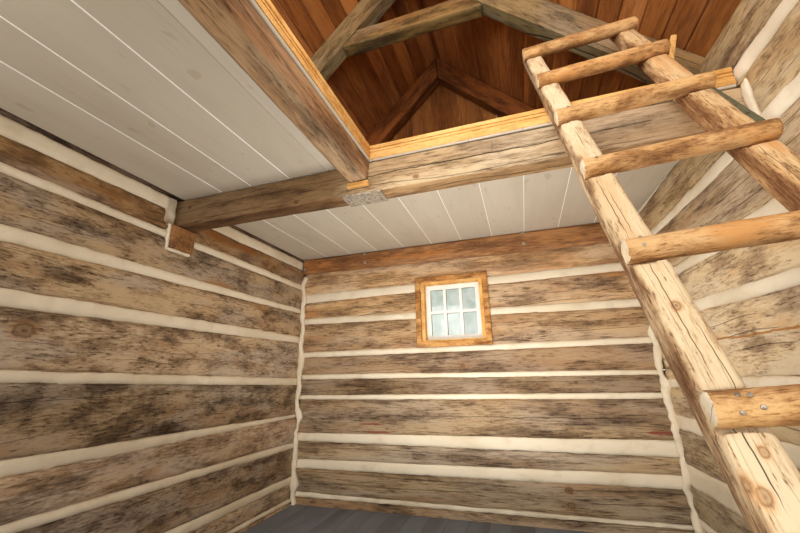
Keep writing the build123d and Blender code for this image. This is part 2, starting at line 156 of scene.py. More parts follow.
class CabinSizes(bpy.types.PropertyGroup):
    """Sizes of the fine shapes."""
    log_grid: length("Log Grid", "Size of the faces that a log's surface is shaped with", 0.017)
    beam_grid: length("Beam Grid", "Size of the faces on beams and rafters", 0.014)
    pole_grid: length("Pole Grid", "Size of the faces on the ladder's poles", 0.0085)
    mortar_grid: length("Mortar Grid", "Size of the faces on the mortar", 0.013)
    log_waves: length("Log Waves", "How deep a log's edges wander", 0.013)
    axe_marks: length("Axe Marks", "How deep the hewing leaves its facets", 0.008)
    mortar_spread: length("Mortar Spread", "How far the mortar is pressed over the logs' edges",
                          0.013)
    floor_board: length("Floor Board", "Width of a floor board", 0.145)
    roof_board: length("Roof Board", "Width of a roof board", 0.1301)
    gable_board: length("Gable Board", "Width of a gable board", 0.14)
    board_groove: length("Board Groove", "Width of the bevel on a board's edge", 0.0025)
    right_splay: bpy.props.FloatProperty(name="Right Wall Splay", subtype="ANGLE",
                                         description="How far the right wall turns outward",
                                         default=math.radians(2))
    # The loft seams' bright white is partly their filling and partly a painted highlight.
    loft_seam: length("Loft Seam", "Width of the bright filling between two loft boards", 0.0065)
    lens: bpy.props.FloatProperty(name="Lens", description="Focal length on a 36 mm sensor",
                                  default=16.55, min=1.0, unit="CAMERA")


class CabinColours(bpy.types.PropertyGroup):
    """Colours of the finishes."""
    mortar: colour("Mortar", "Lime mortar", (229, 213, 185))
    floor: colour("Floor", "Floor paint", (112, 118, 128))
    loft: colour("Loft", "Loft paint", (200, 188, 168))
    sash: colour("Sash", "Sash paint", (240, 238, 228))
    stage: colour("Stage", "Ground that the bay stands on", (214, 212, 208))


# Small helpers for modelling


def alone(piece):
    """Select one object and nothing else."""
    bpy.ops.object.select_all(action="DESELECT")
    piece.select_set(True)
    bpy.context.view_layer.objects.active = piece
    return piece


def settle(piece):
    """Put a piece's turn, size and place into its mesh."""
    alone(piece)
    bpy.ops.object.transform_apply(location=True, rotation=True, scale=True)
    return piece


def finish_modifier(piece, name, kind, **settings):
    """Add a modifier and apply it at once."""
    alone(piece)
    modifier = piece.modifiers.new(name, kind)
    for key, value in settings.items():
        setattr(modifier, key, value)
    bpy.ops.object.modifier_apply(modifier=modifier.name)
    return piece


def regrid(piece, size):
    """Lay a piece's skin out in even faces."""
    return finish_modifier(piece, "grid", "REMESH", mode="VOXEL", voxel_size=size)


def thin(piece, ratio):
    """Take away the faces that a piece's form can spare."""
    return finish_modifier(piece, "thin", "DECIMATE", ratio=ratio)


def bevel(piece, width, segments=1, **more):
    """Break a piece's sharp edges."""
    return finish_modifier(piece, "edge", "BEVEL", width=width, segments=segments,
                           limit_method="ANGLE", **more)


def join(pieces, name):
    """Join several pieces into one."""
    alone(pieces[0])
    for piece in pieces:
        piece.select_set(True)
    if len(pieces) > 1:
        bpy.ops.object.join()
    pieces[0].name = name
    pieces[0].data.name = name
    return pieces[0]


def box(name, x0, x1, y0, y1, z0, z1):
    """A cube drawn out between two corners."""
    bpy.ops.object.select_all(action="DESELECT")
    centre = ((x0 + x1) / 2, (y0 + y1) / 2, (z0 + z1) / 2)
    bpy.ops.mesh.primitive_cube_add(size=1, location=centre)
    piece = bpy.context.object
    piece.name = name
    piece.scale = (x1 - x0, y1 - y0, z1 - z0)
    return settle(piece)


def copy_of(node, name):
    """A copy of a node's mesh with its loose triangles merged."""
    piece = bpy.data.objects.new(name, frame["nodes"][node].data.copy())
    piece.data.name = name
    piece.data.materials.clear()
    bpy.context.scene.collection.objects.link(piece)
    alone(piece)
    bpy.ops.object.mode_set(mode="EDIT")
    bpy.ops.mesh.select_all(action="SELECT")
    bpy.ops.mesh.remove_doubles(threshold=0.0002)
    bpy.ops.object.mode_set(mode="OBJECT")
    return piece


def saw(piece, point, normal):
    """Saw off what lies beyond a plane, and close the cut."""
    alone(piece)
    bpy.ops.object.mode_set(mode="EDIT")
    bpy.ops.mesh.select_all(action="SELECT")
    bpy.ops.mesh.bisect(plane_co=point, plane_no=normal, use_fill=True, clear_outer=True)
    bpy.ops.object.mode_set(mode="OBJECT")
    return piece


def saw_square(piece):
    """Saw a piece off at the open front."""
    return saw(piece, (0, FRONT, 0), (0, -1, 0))


def saw_at_right_wall(piece, sizes):
    """Saw a piece off along the right wall's turned face."""
    return saw(piece, (RIGHT_FACE, BACK_FACE, 0),
               (math.cos(sizes.right_splay), math.sin(sizes.right_splay), 0))


def roughen(piece, depth, size, turn=ALONG_X, stretch=1.0, middle=0.5, seed=0,
            direction="NORMAL", only=""):
    """Push a surface in and out by a noise of some size that is stretched along the grain.

    middle is the level of the noise that moves nothing, and only names the group it works on."""
    texture = bpy.data.textures.new("roughness", "CLOUDS")
    texture.noise_scale = size
    texture.noise_depth = 2
    guide = bpy.data.objects.new("grain_guide", None)
    bpy.context.scene.collection.objects.link(guide)
    guide.rotation_euler = (-turn[0], -turn[1], -turn[2])
    guide.scale = (stretch, 1.0, 1.0)
    guide.location = (seed * 0.37, seed * 0.71, seed * 0.53)
    bpy.context.view_layer.update()
    finish_modifier(piece, "roughness", "DISPLACE", texture=texture, strength=depth,
                    mid_level=middle, direction=direction, vertex_group=only,
                    texture_coords="OBJECT", texture_coords_object=guide)
    bpy.data.objects.remove(guide)
    bpy.data.textures.remove(texture)
    return piece


def smooth(piece, angle=40):
    """Shade a piece smooth, with its sharp edges kept."""
    alone(piece)
    bpy.ops.object.shade_smooth_by_angle(angle=math.radians(angle))
    return piece


def place(piece, slot, *nodes):
    """Fix a finished piece to the bay, in the place of some nodes; slot is not used."""
    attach(piece, "root")
    if nodes:
        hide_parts(*nodes)
    return piece


def slot_of(node):
    """The material slot that the record gives a node."""
    parts = frame["record"]["subparts"]
    return next(part["material_slot"] for part in parts if part["node"] == node)


def clad(piece, *materials):
    """Give a piece its finishes, the first of them all over."""
    piece.data.materials.clear()
    for material in materials:
        piece.data.materials.append(material)
    return piece


# Node trees


class Tree:
    """Short hand for laying out a node tree."""

    def __init__(self, tree):
        self.tree = tree

    def node(self, kind, inputs=None, **settings):
        """Add a node with its settings and inputs, each input a value or another socket."""
        made = self.tree.nodes.new(kind)
        for key, value in settings.items():
            setattr(made, key, value)
        for key, value in (inputs or {}).items():
            self.feed(made.inputs[key], value)
        return made

    def feed(self, socket, value):
        """Link a socket, or set its value."""
        if isinstance(value, bpy.types.NodeSocket):
            self.tree.links.new(value, socket)
        else:
            socket.default_value = value

    def math(self, operation, first, second=0.0):
        return self.node("ShaderNodeMath", {0: first, 1: second}, operation=operation).outputs[0]

    def times(self, first, second):
        return self.math("MULTIPLY", first, second)

    def plus(self, first, second):
        return self.math("ADD", first, second)

    def minus(self, first, second):
        return self.math("SUBTRACT", first, second)

    def vector(self, operation, first, second):
        made = self.node("ShaderNodeVectorMath", {0: first, 1: second}, operation=operation)
        return made.outputs[0]

    def drawn(self, vector, x, y, z):
        """A vector scaled along each axis, which draws a pattern out or in."""
        return self.vector("MULTIPLY", vector, (x, y, z))

    def length(self, vector):
        made = self.node("ShaderNodeVectorMath", {0: vector}, operation="LENGTH")
        return made.outputs["Value"]

    def parts(self, vector):
        """The X, Y and Z of a vector."""
        return self.node("ShaderNodeSeparateXYZ", {0: vector}).outputs

    def noise(self, vector, scale=1.0, detail=3.0, rough=0.5, distortion=0.0):
        inputs = {"Vector": vector, "Scale": scale, "Detail": detail, "Roughness": rough,
                  "Distortion": distortion}
        return self.node("ShaderNodeTexNoise", inputs).outputs["Fac"]

    def step(self, value, low, high, first=0.0, last=1.0):
        """A soft step from one value to another."""
        inputs = {"Value": value, "From Min": low, "From Max": high, "To Min": first,
                  "To Max": last}
        return self.node("ShaderNodeMapRange", inputs, interpolation_type="SMOOTHSTEP").outputs[0]

    def mix(self, share, first, second, blend="MIX"):
        made = self.node("ShaderNodeMix", {0: share, 6: first, 7: second}, data_type="RGBA",
                         blend_type=blend)
        return made.outputs[2]

    def tinted(self, shade, *tint):
        """A colour multiplied by a tint."""
        return self.mix(1.0, shade, (*tint, 1.0), "MULTIPLY")

    def board_tone(self):
        """The value of its own that each board carries."""
        return self.node("ShaderNodeAttribute", attribute_name="tone").outputs["Fac"]


def new_group(name, colours, values, outputs):
    """A node group that takes a vector, some colours and some values.

    It gives the tree, its inputs by their labels and its outputs' sockets."""
    tree = bpy.data.node_groups.new(name, "ShaderNodeTree")
    inputs = [("Vector", "NodeSocketVector")]
    inputs += [(label, "NodeSocketColor") for label in colours]
    inputs += [(label, "NodeSocketFloat") for label in values]
    for label, kind in inputs:
        tree.interface.new_socket(name=label, in_out="INPUT", socket_type=kind)
    for label in outputs:
        kind = "NodeSocketColor" if label == "Color" else "NodeSocketFloat"
        tree.interface.new_socket(name=label, in_out="OUTPUT", socket_type=kind)
    entry = tree.nodes.new("NodeGroupInput")
    exit_node = tree.nodes.new("NodeGroupOutput")
    return Tree(tree), {label: entry.outputs[label] for label, kind in inputs}, exit_node.inputs


def old_wood_group():
    """Weathered wood, its grain along X: dull clouds, short dark marks, stains, scores and checks.

    Bias gives a place more dark patches and marks where it is above 0, and fewer where it is below."""
    tree, given, out = new_group("old_wood", ("Pale", "Mid", "Dark", "Stain"),
                                 ("Seed", "Patches", "Grit", "Staining", "Checks", "Greying",
                                  "Bias"),
                                 ("Color", "Roughness", "Height"))
    shift = tree.node("ShaderNodeVectorMath", {0: (3.71, 1.93, 2.47), "Scale": given["Seed"]},
                      operation="SCALE").outputs[0]
    place_at = tree.vector("ADD", given["Vector"], shift)
    wander = tree.times(tree.minus(tree.noise(place_at, scale=2.5, detail=0), 0.5), 0.03)
    bend = tree.node("ShaderNodeCombineXYZ", {1: wander, 2: wander}).outputs[0]
    bent = tree.vector("ADD", place_at, bend)

    dashes = tree.noise(tree.drawn(bent, 18.0, 85.0, 85.0), detail=3, rough=0.8)
    cloud = tree.noise(tree.drawn(bent, 3.6, 9.0, 9.0), detail=3, rough=0.6)
    scores = tree.noise(tree.drawn(place_at, 75.0, 14.0, 14.0), detail=1)
    tints = tree.node("ShaderNodeTexNoise", {"Vector": tree.drawn(place_at, 1.8, 5.5, 5.5),
                                             "Scale": 1.0, "Detail": 2.0})
    tint = tree.node("ShaderNodeSeparateColor", {0: tints.outputs["Color"]}).outputs

    biased_cloud = tree.plus(cloud, given["Bias"])
    tone = tree.plus(tree.times(dashes, 0.5), tree.times(biased_cloud, 0.5))
    patch = tree.times(tree.step(biased_cloud, 0.46, 0.74), given["Patches"])
    mark = tree.plus(tree.times(dashes, 0.7), tree.times(biased_cloud, 0.3))
    mark = tree.times(tree.step(mark, 0.535, 0.63), given["Grit"])
    score = tree.times(tree.step(scores, 0.58, 0.78), tree.step(biased_cloud, 0.47, 0.58))
    score = tree.times(score, given["Grit"])
    stain = tree.times(tree.step(tint[0], 0.52, 0.68), given["Staining"])
    parts = tree.parts(place_at)
    level = tree.plus(parts[2], tree.times(parts[1], 0.4))
    level = tree.plus(level, tree.times(wander, 2.5))
    line = tree.math("PINGPONG", level, 0.042)
    check = tree.times(tree.step(line, 0.0006, 0.0028, 1.0, 0.0),
                       tree.times(tree.step(tint[1], 0.47, 0.55), given["Checks"]))

    shade = tree.mix(tree.step(tone, 0.40, 0.56), given["Pale"], given["Mid"])
    grey = tree.node("ShaderNodeHueSaturation", {"Saturation": 0.82, "Value": 0.9, "Color": shade})
    greyed = tree.times(tree.step(tint[2], 0.42, 0.60), given["Greying"])
    shade = tree.mix(greyed, shade, grey.outputs[0])
    stained = tree.mix(tree.step(tone, 0.42, 0.56), given["Stain"], given["Mid"])
    shade = tree.mix(stain, shade, stained)
    shade = tree.mix(patch, shade, given["Dark"])
    deep = tree.mix(0.3, given["Dark"], ALMOST_BLACK)
    shade = tree.mix(tree.math("MAXIMUM", mark, tree.times(score, 0.5)), shade, deep)
    shade = tree.mix(tree.times(check, 0.85), shade, ALMOST_BLACK)
    tree.feed(out["Color"], shade)
    tree.feed(out["Roughness"], tree.step(dashes, 0.3, 0.7, 0.92, 0.72))
    height = tree.minus(tree.times(cloud, 0.3), tree.times(mark, 0.4))
    tree.feed(out["Height"], tree.minus(height, check))
    return tree.tree


def knot_group():
    """One knot, drawn out a little along X: its core, its dark ring and the stain around it."""
    tree, given, out = new_group("knot", ("Color", "Core", "Ring", "Halo"), ("Reach",), ("Color",))
    wobble = tree.minus(tree.noise(given["Vector"], scale=60.0, detail=3), 0.5)
    away = tree.length(tree.drawn(given["Vector"], 0.75, 1.0, 1.0))
    away = tree.plus(tree.math("DIVIDE", away, given["Reach"]), tree.times(wobble, 0.7))
    shade = tree.mix(tree.step(away, 0.8, 1.6, 0.55, 0.0), given["Color"], given["Halo"])
    shade = tree.mix(tree.step(away, 0.7, 1.1, 0.75, 0.0), shade, given["Ring"])
    shade = tree.mix(tree.step(away, 0.5, 0.85, 0.7, 0.0), shade, given["Core"])
    shade = tree.mix(tree.step(away, 0.1, 0.4, 0.7, 0.0), shade, given["Ring"])
    tree.feed(out["Color"], shade)
    return tree.tree


def split_group():
    """One long drying split along X, wandering a little and closing towards its ends."""
    tree, given, out = new_group("split", ("Color", "Split"), ("Half", "Width"), ("Color",))
    parts = tree.parts(given["Vector"])
    wobble = tree.noise(tree.drawn(given["Vector"], 5.0, 0.0, 0.0), detail=3, rough=0.6)
    off = tree.plus(parts[2], tree.times(tree.minus(wobble, 0.5), 0.035))
    share = tree.math("DIVIDE", tree.math("ABSOLUTE", parts[0]), given["Half"])
    wide = tree.times(tree.step(share, 0.4, 1.0, 1.0, 0.05), given["Width"])
    near = tree.math("DIVIDE", tree.math("ABSOLUTE", off), wide)
    inside = tree.times(tree.step(near, 0.4, 1.2, 0.9, 0.0), tree.step(share, 0.97, 1.0, 1.0, 0.0))
    tree.feed(out["Color"], tree.mix(inside, given["Color"], given["Split"]))
    return tree.tree


def cut_end_group():
    """Rings and radial checks on a sawn end, round a centre line along X."""
    tree, given, out = new_group("cut_end", ("Pale", "Dark"), (), ("Color", "Height"))
    wobble = tree.node("ShaderNodeTexNoise", {"Vector": given["Vector"], "Scale": 9.0,
                                              "Detail": 2.0})
    flat = tree.vector("ADD", tree.drawn(given["Vector"], 0.0, 1.0, 1.0),
                       tree.drawn(wobble.outputs["Color"], 0.0, 0.012, 0.012))
    reach = tree.length(flat)
    rings = tree.math("SINE", tree.times(reach, 1100.0))
    grain = tree.noise(given["Vector"], scale=90.0, detail=3)
    parts = tree.parts(flat)
    angle = tree.math("ARCTAN2", parts[1], parts[2])
    round_it = tree.node("ShaderNodeCombineXYZ", {0: angle, 1: tree.times(reach, 2.0)}).outputs[0]
    spokes = tree.noise(round_it, scale=3.2, detail=2)
    check = tree.step(tree.math("ABSOLUTE", tree.minus(spokes, 0.5)), 0.0, 0.012, 1.0, 0.0)
    shade = tree.plus(tree.times(tree.step(rings, -0.6, 0.9), 0.5), tree.times(grain, 0.5))
    ringed = tree.mix(shade, given["Dark"], given["Pale"])
    tree.feed(out["Color"], tree.mix(tree.times(check, 0.85), ringed, (0.01, 0.007, 0.004, 1.0)))
    tree.feed(out["Height"], tree.minus(tree.times(shade, 0.3), check))
    return tree.tree


def mortar_group():
    """Trowelled lime mortar: sand, smears and stains."""
    tree, given, out = new_group("lime_mortar", ("Base",), (), ("Color", "Height"))
    sand = tree.noise(given["Vector"], scale=420.0, detail=1, rough=0.7)
    smears = tree.noise(given["Vector"], scale=9.0, detail=3, rough=0.6)
    stains = tree.noise(given["Vector"], scale=2.3, detail=1)
    darker = tree.tinted(given["Base"], 0.74, 0.69, 0.59)
    shade = tree.mix(tree.step(stains, 0.42, 0.8, 0.0, 0.6), given["Base"], darker)
    shade = tree.mix(tree.step(smears, 0.5, 0.8, 0.0, 0.55), shade, darker)
    shade = tree.mix(tree.step(sand, 0.55, 0.85, 0.0, 0.3), shade, darker)
    tree.feed(out["Color"], shade)
    height = tree.plus(tree.times(sand, 0.2), tree.times(smears, 0.8))
    tree.feed(out["Height"], height)
    return tree.tree


def painted_board_group():
    """Brushed paint on boards that run along X, with dents, scuffs and grime."""
    tree, given, out = new_group("brushed_paint", ("Base", "Bare"), ("Seed", "Grime", "Wear"),
                                 ("Color", "Roughness", "Height"))
    shift = tree.node("ShaderNodeCombineXYZ", {0: given["Seed"], 1: given["Seed"]}).outputs[0]
    place_at = tree.vector("ADD", given["Vector"], tree.drawn(shift, 5.3, 2.9, 0.0))
    brush = tree.noise(tree.drawn(place_at, 3.0, 90.0, 90.0), detail=2, rough=0.6)
    cloud = tree.noise(tree.drawn(place_at, 1.2, 4.0, 4.0), detail=2, rough=0.6)
    dents = tree.noise(tree.drawn(place_at, 9.0, 16.0, 16.0), detail=1, rough=0.5)
    chips = tree.noise(tree.drawn(place_at, 11.0, 70.0, 70.0), detail=3, rough=0.7)
    dent = tree.step(dents, 0.68, 0.76)
    chip = tree.times(tree.step(chips, 0.62, 0.66), given["Wear"])
    grimy = tree.tinted(given["Base"], 0.62, 0.54, 0.44)
    grime = tree.times(tree.step(cloud, 0.4, 0.75), given["Grime"])
    shade = tree.mix(grime, given["Base"], grimy)
    streak = tree.tinted(given["Base"], 0.8, 0.76, 0.7)
    shade = tree.mix(tree.step(brush, 0.5, 0.85, 0.0, 0.5), shade, streak)
    shade = tree.mix(tree.times(dent, 0.35), shade, grimy)
    shade = tree.mix(chip, shade, given["Bare"])
    tree.feed(out["Color"], shade)
    tree.feed(out["Roughness"], tree.step(cloud, 0.3, 0.8, 0.5, 0.72))
    height = tree.minus(tree.times(brush, 0.25), tree.times(dent, 0.6))
    tree.feed(out["Height"], tree.minus(height, tree.times(chip, 0.3)))
    return tree.tree


MAKERS = {"old_wood": old_wood_group, "knot": knot_group, "split": split_group,
          "cut_end": cut_end_group, "lime_mortar": mortar_group,
          "brushed_paint": painted_board_group}
GROUPS = {}


def use_group(tree, name, **inputs):
    """Place a shared group in a material with its own values. It is made when it is first used."""
    if name not in GROUPS:
        GROUPS[name] = MAKERS[name]()
    return tree.node("ShaderNodeGroup", inputs, node_tree=GROUPS[name]).outputs


def new_material(name, **constants):
    """A material with its shader's constants, and the piece's own coordinates."""
    material = bpy.data.materials.new(name)
    material.use_nodes = True
    tree = Tree(material.node_tree)
    shader = material.node_tree.nodes["Principled BSDF"]
    for label, value in constants.items():
        shader.inputs[label].default_value = value
    coordinates = tree.node("ShaderNodeTexCoord").outputs["Object"]
    return material, tree, shader, coordinates


def turned(tree, coordinates, turn, centre=(0.0, 0.0, 0.0)):
    """Coordinates moved to a centre and turned so that the grain runs along X."""
    moved = tree.vector("SUBTRACT", coordinates, centre)
    return tree.node("ShaderNodeMapping", {"Vector": moved, "Rotation": turn}).outputs[0]


def dress(tree, shader, shade, height, strength, depth, roughness=None):
    """Feed a finish's colour, its relief and, where it varies, its roughness into the shader."""
    tree.feed(shader.inputs["Base Color"], shade)
    relief = tree.node("ShaderNodeBump", {"Strength": strength, "Distance": depth,
                                          "Height": height})
    tree.feed(shader.inputs["Normal"], relief.outputs[0])
    if roughness:
        tree.feed(shader.inputs["Roughness"], roughness)


# Finishes


class Look:
    """How one piece of old wood looks: its colours, and how strong each kind of mark is.

    high is how much darker and more marked its upper part is, sides how much dirtier its flanks are,
    fine how much smaller its marks are, drawn how much longer they are, and under the tint of what
    faces down, which on beams and rafters is painted shade."""

    def __init__(self, pale, mid, dark, stain, patches=0.6, grit=0.6, staining=0.3, checks=0.6,
                 greying=1.0, bias=0.0, high=0.0, sides=0.0, fine=1.0, drawn=1.0, under=None):
        self.pale, self.mid, self.dark, self.stain = (paint(*c) for c in (pale, mid, dark, stain))
        self.patches, self.grit, self.staining, self.checks = patches, grit, staining, checks
        self.greying, self.bias, self.high, self.sides = greying, bias, high, sides
        self.fine, self.drawn, self.under = fine, drawn, under

    def shaded(self, shade, **marks):
        """The same look, lighter or darker, with some of its marks changed."""
        other = copy(self)
        tint = shade if isinstance(shade, tuple) else (shade, shade, shade)
        for key in ("pale", "mid", "dark", "stain"):
            values = [min(1.0, value * share) for value, share in zip(getattr(self, key), tint)]
            setattr(other, key, (*values, 1.0))
        other.__dict__.update(marks)
        return other


LEFT_LOG = Look((198, 171, 136), (154, 125, 92), (80, 60, 42), (168, 118, 70), patches=0.55,
                grit=0.9, staining=0.6, checks=0.5, bias=-0.03, high=0.07, fine=1.25)
BACK_LOG = Look((200, 166, 124), (156, 121, 84), (70, 50, 34), (172, 114, 62), patches=0.45,
                grit=0.85, staining=0.5, checks=0.8, greying=0.7, bias=-0.03, high=0.05, fine=1.2,
                drawn=1.8)
# The right wall's logs are coloured paler than the left wall's: painted light, for the light that
# falls on the right wall from the left and front.
RIGHT_LOG = Look((218, 193, 152), (184, 153, 114), (106, 80, 56), (202, 152, 92), patches=0.5,
                 grit=0.7, staining=0.6, checks=0.7, greying=0.6, bias=-0.05, high=0.06, fine=1.25,
                 drawn=1.3)
# The under tints of BEAM and RAFTER are painted shade, darker and greyer, on faces that point down;
# TRIMMER's makes its underside paler and cooler.
BEAM = Look((206, 180, 140), (166, 136, 98), (92, 68, 44), (178, 122, 70), patches=0.45, grit=0.7,
            staining=0.3, checks=0.7, greying=0.8, bias=-0.03, drawn=1.8, under=(0.66, 0.54, 0.42))
TRIMMER = Look((176, 134, 90), (138, 98, 60), (70, 46, 28), (170, 108, 54), patches=0.5, grit=0.7,
               staining=0.4, checks=0.7, greying=0.5, bias=-0.02, drawn=1.8, under=(1.05, 1.2, 1.3))
RAFTER = Look((172, 142, 96), (130, 104, 66), (56, 44, 28), (164, 108, 50), patches=0.5, grit=0.7,
              staining=0.4, checks=0.9, greying=0.9, bias=-0.02, drawn=1.6, under=(0.7, 0.8, 0.8))
LEDGER = Look((186, 132, 78), (148, 98, 56), (74, 44, 24), (204, 130, 66), patches=0.5, grit=0.5,
              staining=0.8, checks=0.6, greying=0.3, bias=-0.03, drawn=2.0)
BRIGHT_PINE = Look((232, 184, 112), (212, 156, 84), (146, 92, 44), (216, 144, 66), patches=0.2,
                   grit=0.3, staining=0.5, checks=0.1, greying=0.0, bias=-0.04, fine=1.6)
ROOF = Look((204, 132, 66), (166, 102, 46), (88, 46, 20), (220, 142, 68), patches=0.35, grit=0.25,
            staining=0.7, checks=0.0, greying=0.15, bias=-0.03, fine=0.8, drawn=2.4)
CASING = Look((206, 154, 90), (168, 112, 58), (92, 50, 26), (206, 124, 50), staining=0.7,
              checks=0.4, greying=0.0, fine=1.8)
LEFT_RAIL = Look((220, 196, 156), (200, 166, 122), (120, 76, 42), (204, 150, 94), patches=0.8,
                 grit=0.9, staining=0.45, checks=0.2, greying=0.2, bias=-0.11, sides=0.26, fine=2.0,
                 drawn=1.6)
RIGHT_RAIL = LEFT_RAIL.shaded((1.0, 0.9, 0.76), staining=0.85, bias=-0.04)
RUNG = Look((214, 170, 112), (186, 134, 78), (122, 78, 42), (200, 134, 68), patches=0.65, grit=0.7,
            staining=0.7, checks=0.15, greying=0.2, fine=2.2)
RUNG_END = Look((240, 218, 178), (226, 198, 150), (170, 124, 80), (220, 176, 120), patches=0.2,
                grit=0.2, fine=2.0)
SLEEPER = Look((150, 124, 96), (118, 92, 66), (60, 44, 32), (132, 92, 58))

# How each log differs from its wall: its tint, and the marks that are stronger or weaker on it
LOG_LOOKS = {
    "left_log_2": ((0.74, 0.74, 0.76), {}),
    "left_log_3": ((1.0, 1.0, 1.04), {"grit": 0.6, "patches": 0.4, "high": 0.03}),
    "left_log_4": ((0.74, 0.74, 0.72), {"patches": 0.7, "bias": -0.01}),
    "left_log_6": ((0.92, 0.88, 0.80), {"staining": 0.8}),
    "left_log_7": ((0.80, 0.76, 0.68), {"staining": 0.8}),
    # left_log_8's darker tint and top are partly its own stain and partly painted shade under the
    # loft. left_plate_log's very dark tint and darker top are painted shade, for the shadowed gap
    # under the loft boards.
    "left_log_8": ((0.66, 0.53, 0.37), {"staining": 1.0, "patches": 0.5, "grit": 0.35,
                                        "high": 0.16}),
    "left_plate_log": ((0.26, 0.21, 0.17), {"staining": 0.3, "high": 0.3}),
    "back_sill_log": ((0.7, 0.74, 0.78), {}),
    "back_log_1": ((0.70, 0.76, 0.80), {"drawn": 2.6}),
    "back_log_2": ((0.85, 0.93, 1.0), {"drawn": 2.6, "greying": 1.0}),
    "back_log_3": ((0.70, 0.73, 0.76), {"staining": 0.3, "drawn": 2.0}),
    "back_log_4": ((0.58, 0.58, 0.58), {"staining": 0.2, "drawn": 2.0}),
    "back_log_5": ((0.68, 0.66, 0.66), {"staining": 0.3, "drawn": 2.0}),
    "back_log_6": (0.92, {"grit": 0.9}),
    "back_log_7": ((1.1, 1.07, 1.0), {"staining": 0.8}),
    "back_log_8": ((1.2, 1.16, 1.08), {"patches": 0.3, "grit": 0.45}),
    "right_log_1": ((0.66, 0.66, 0.64), {}),
    "right_log_2": ((0.66, 0.66, 0.64), {"patches": 0.7}),
    "right_log_3": ((0.80, 0.78, 0.74), {"patches": 0.6}),
    "right_log_4": (1.0, {"grit": 0.8}),
    "right_log_6": ((0.80, 0.77, 0.74), {"patches": 0.7, "drawn": 1.6}),
    "right_log_7": ((0.78, 0.74, 0.66), {"patches": 0.6}),
    "right_plate_log": ((0.66, 0.60, 0.50), {"staining": 0.6}),
}

# Knots that show, each with its centre and its reach
KNOTS = {
    "left_log_5": [((LEFT_FACE, -0.7375, 1.31), 0.034)],
    "back_log_5": [((0.06, BACK_FACE, 1.16), 0.016)],
    "back_log_4": [((0.86, BACK_FACE, 1.02), 0.012)],
    "back_log_1": [((0.72, BACK_FACE, 0.33), 0.022), ((0.72, BACK_FACE, 0.24), 0.022)],
    "right_log_2": [((RIGHT_FACE + 0.05, 0.2, 0.62), 0.02)],
    "cross_beam": [((0.109, BEAM_LOW.y, 2.052), 0.012), ((0.139, BEAM_LOW.y, 1.975), 0.014),
                   ((-0.58, BEAM_LOW.y, 2.032), 0.012), ((-1.35, BEAM_LOW.y, 2.13), 0.01)],
    "ladder_left_rail": [((0.871, -0.887, 0.903), 0.013), ((0.848, -0.88, 0.917), 0.017),
                         ((0.899, -0.857, 0.964), 0.009), ((0.87, -0.719, 1.243), 0.011)],
}

# Long splits that show, each with its middle, half its length, its width and its colour
GAP = (34, 22, 14)
GRAIN = (104, 72, 44)
RED = (128, 56, 42)
SPLITS = {
    "left_log_4": [((LEFT_FACE, -0.4, 1.03), 0.9, 0.0012, GAP)],
    "back_log_5": [((-0.2, BACK_FACE, 1.19), 1.1, 0.0012, GAP)],
    "back_log_4": [((0.1, BACK_FACE, 1.03), 1.4, 0.0014, GAP)],
    "back_log_3": [((0.1, BACK_FACE, 0.785), 1.5, 0.0022, GAP),
                   ((1.32, BACK_FACE, 0.70), 0.09, 0.012, RED),
                   ((1.30, BACK_FACE, 0.60), 0.12, 0.008, RED),
                   ((-0.72, BACK_FACE, 0.72), 0.12, 0.007, RED),
                   ((-0.66, BACK_FACE, 0.66), 0.14, 0.009, RED)],
    "back_log_2": [((0.5, BACK_FACE, 0.56), 0.9, 0.0014, GAP),
                   ((-0.6, BACK_FACE, 0.53), 0.7, 0.0014, GAP)],
    "right_log_4": [((RIGHT_FACE, 0.0, 1.235), 1.4, 0.0055, (166, 108, 48))],
    "cross_beam": [((0.35, BEAM_LOW.y, 2.107), 0.85, 0.0034, GAP),
                   ((-0.85, BEAM_LOW.y, 2.12), 0.6, 0.0016, GAP)],
    "trimmer_beam": [((0.0, -0.9, 1.99), 0.5, 0.002, GAP)],
    "ladder_left_rail": [((0.864, -0.72, 1.24), 0.20, 0.0016, GRAIN),
                         ((0.902, -0.785, 1.11), 0.13, 0.0013, GRAIN),
                         ((0.884, -0.86, 0.96), 0.09, 0.0016, GAP),
                         ((0.822, -0.555, 1.58), 0.17, 0.0016, GRAIN),
                         ((0.84, -0.57, 1.55), 0.12, 0.0013, GRAIN),
                         ((0.81, -0.38, 1.93), 0.08, 0.0013, GRAIN)],
    "ladder_right_rail": [((1.285, -0.356, 1.98), 0.15, 0.0016, GRAIN),
                          ((1.206, -0.03, 2.65), 0.14, 0.0016, GRAIN),
                          ((1.26, -0.52, 1.65), 0.14, 0.0014, GRAIN)],
}


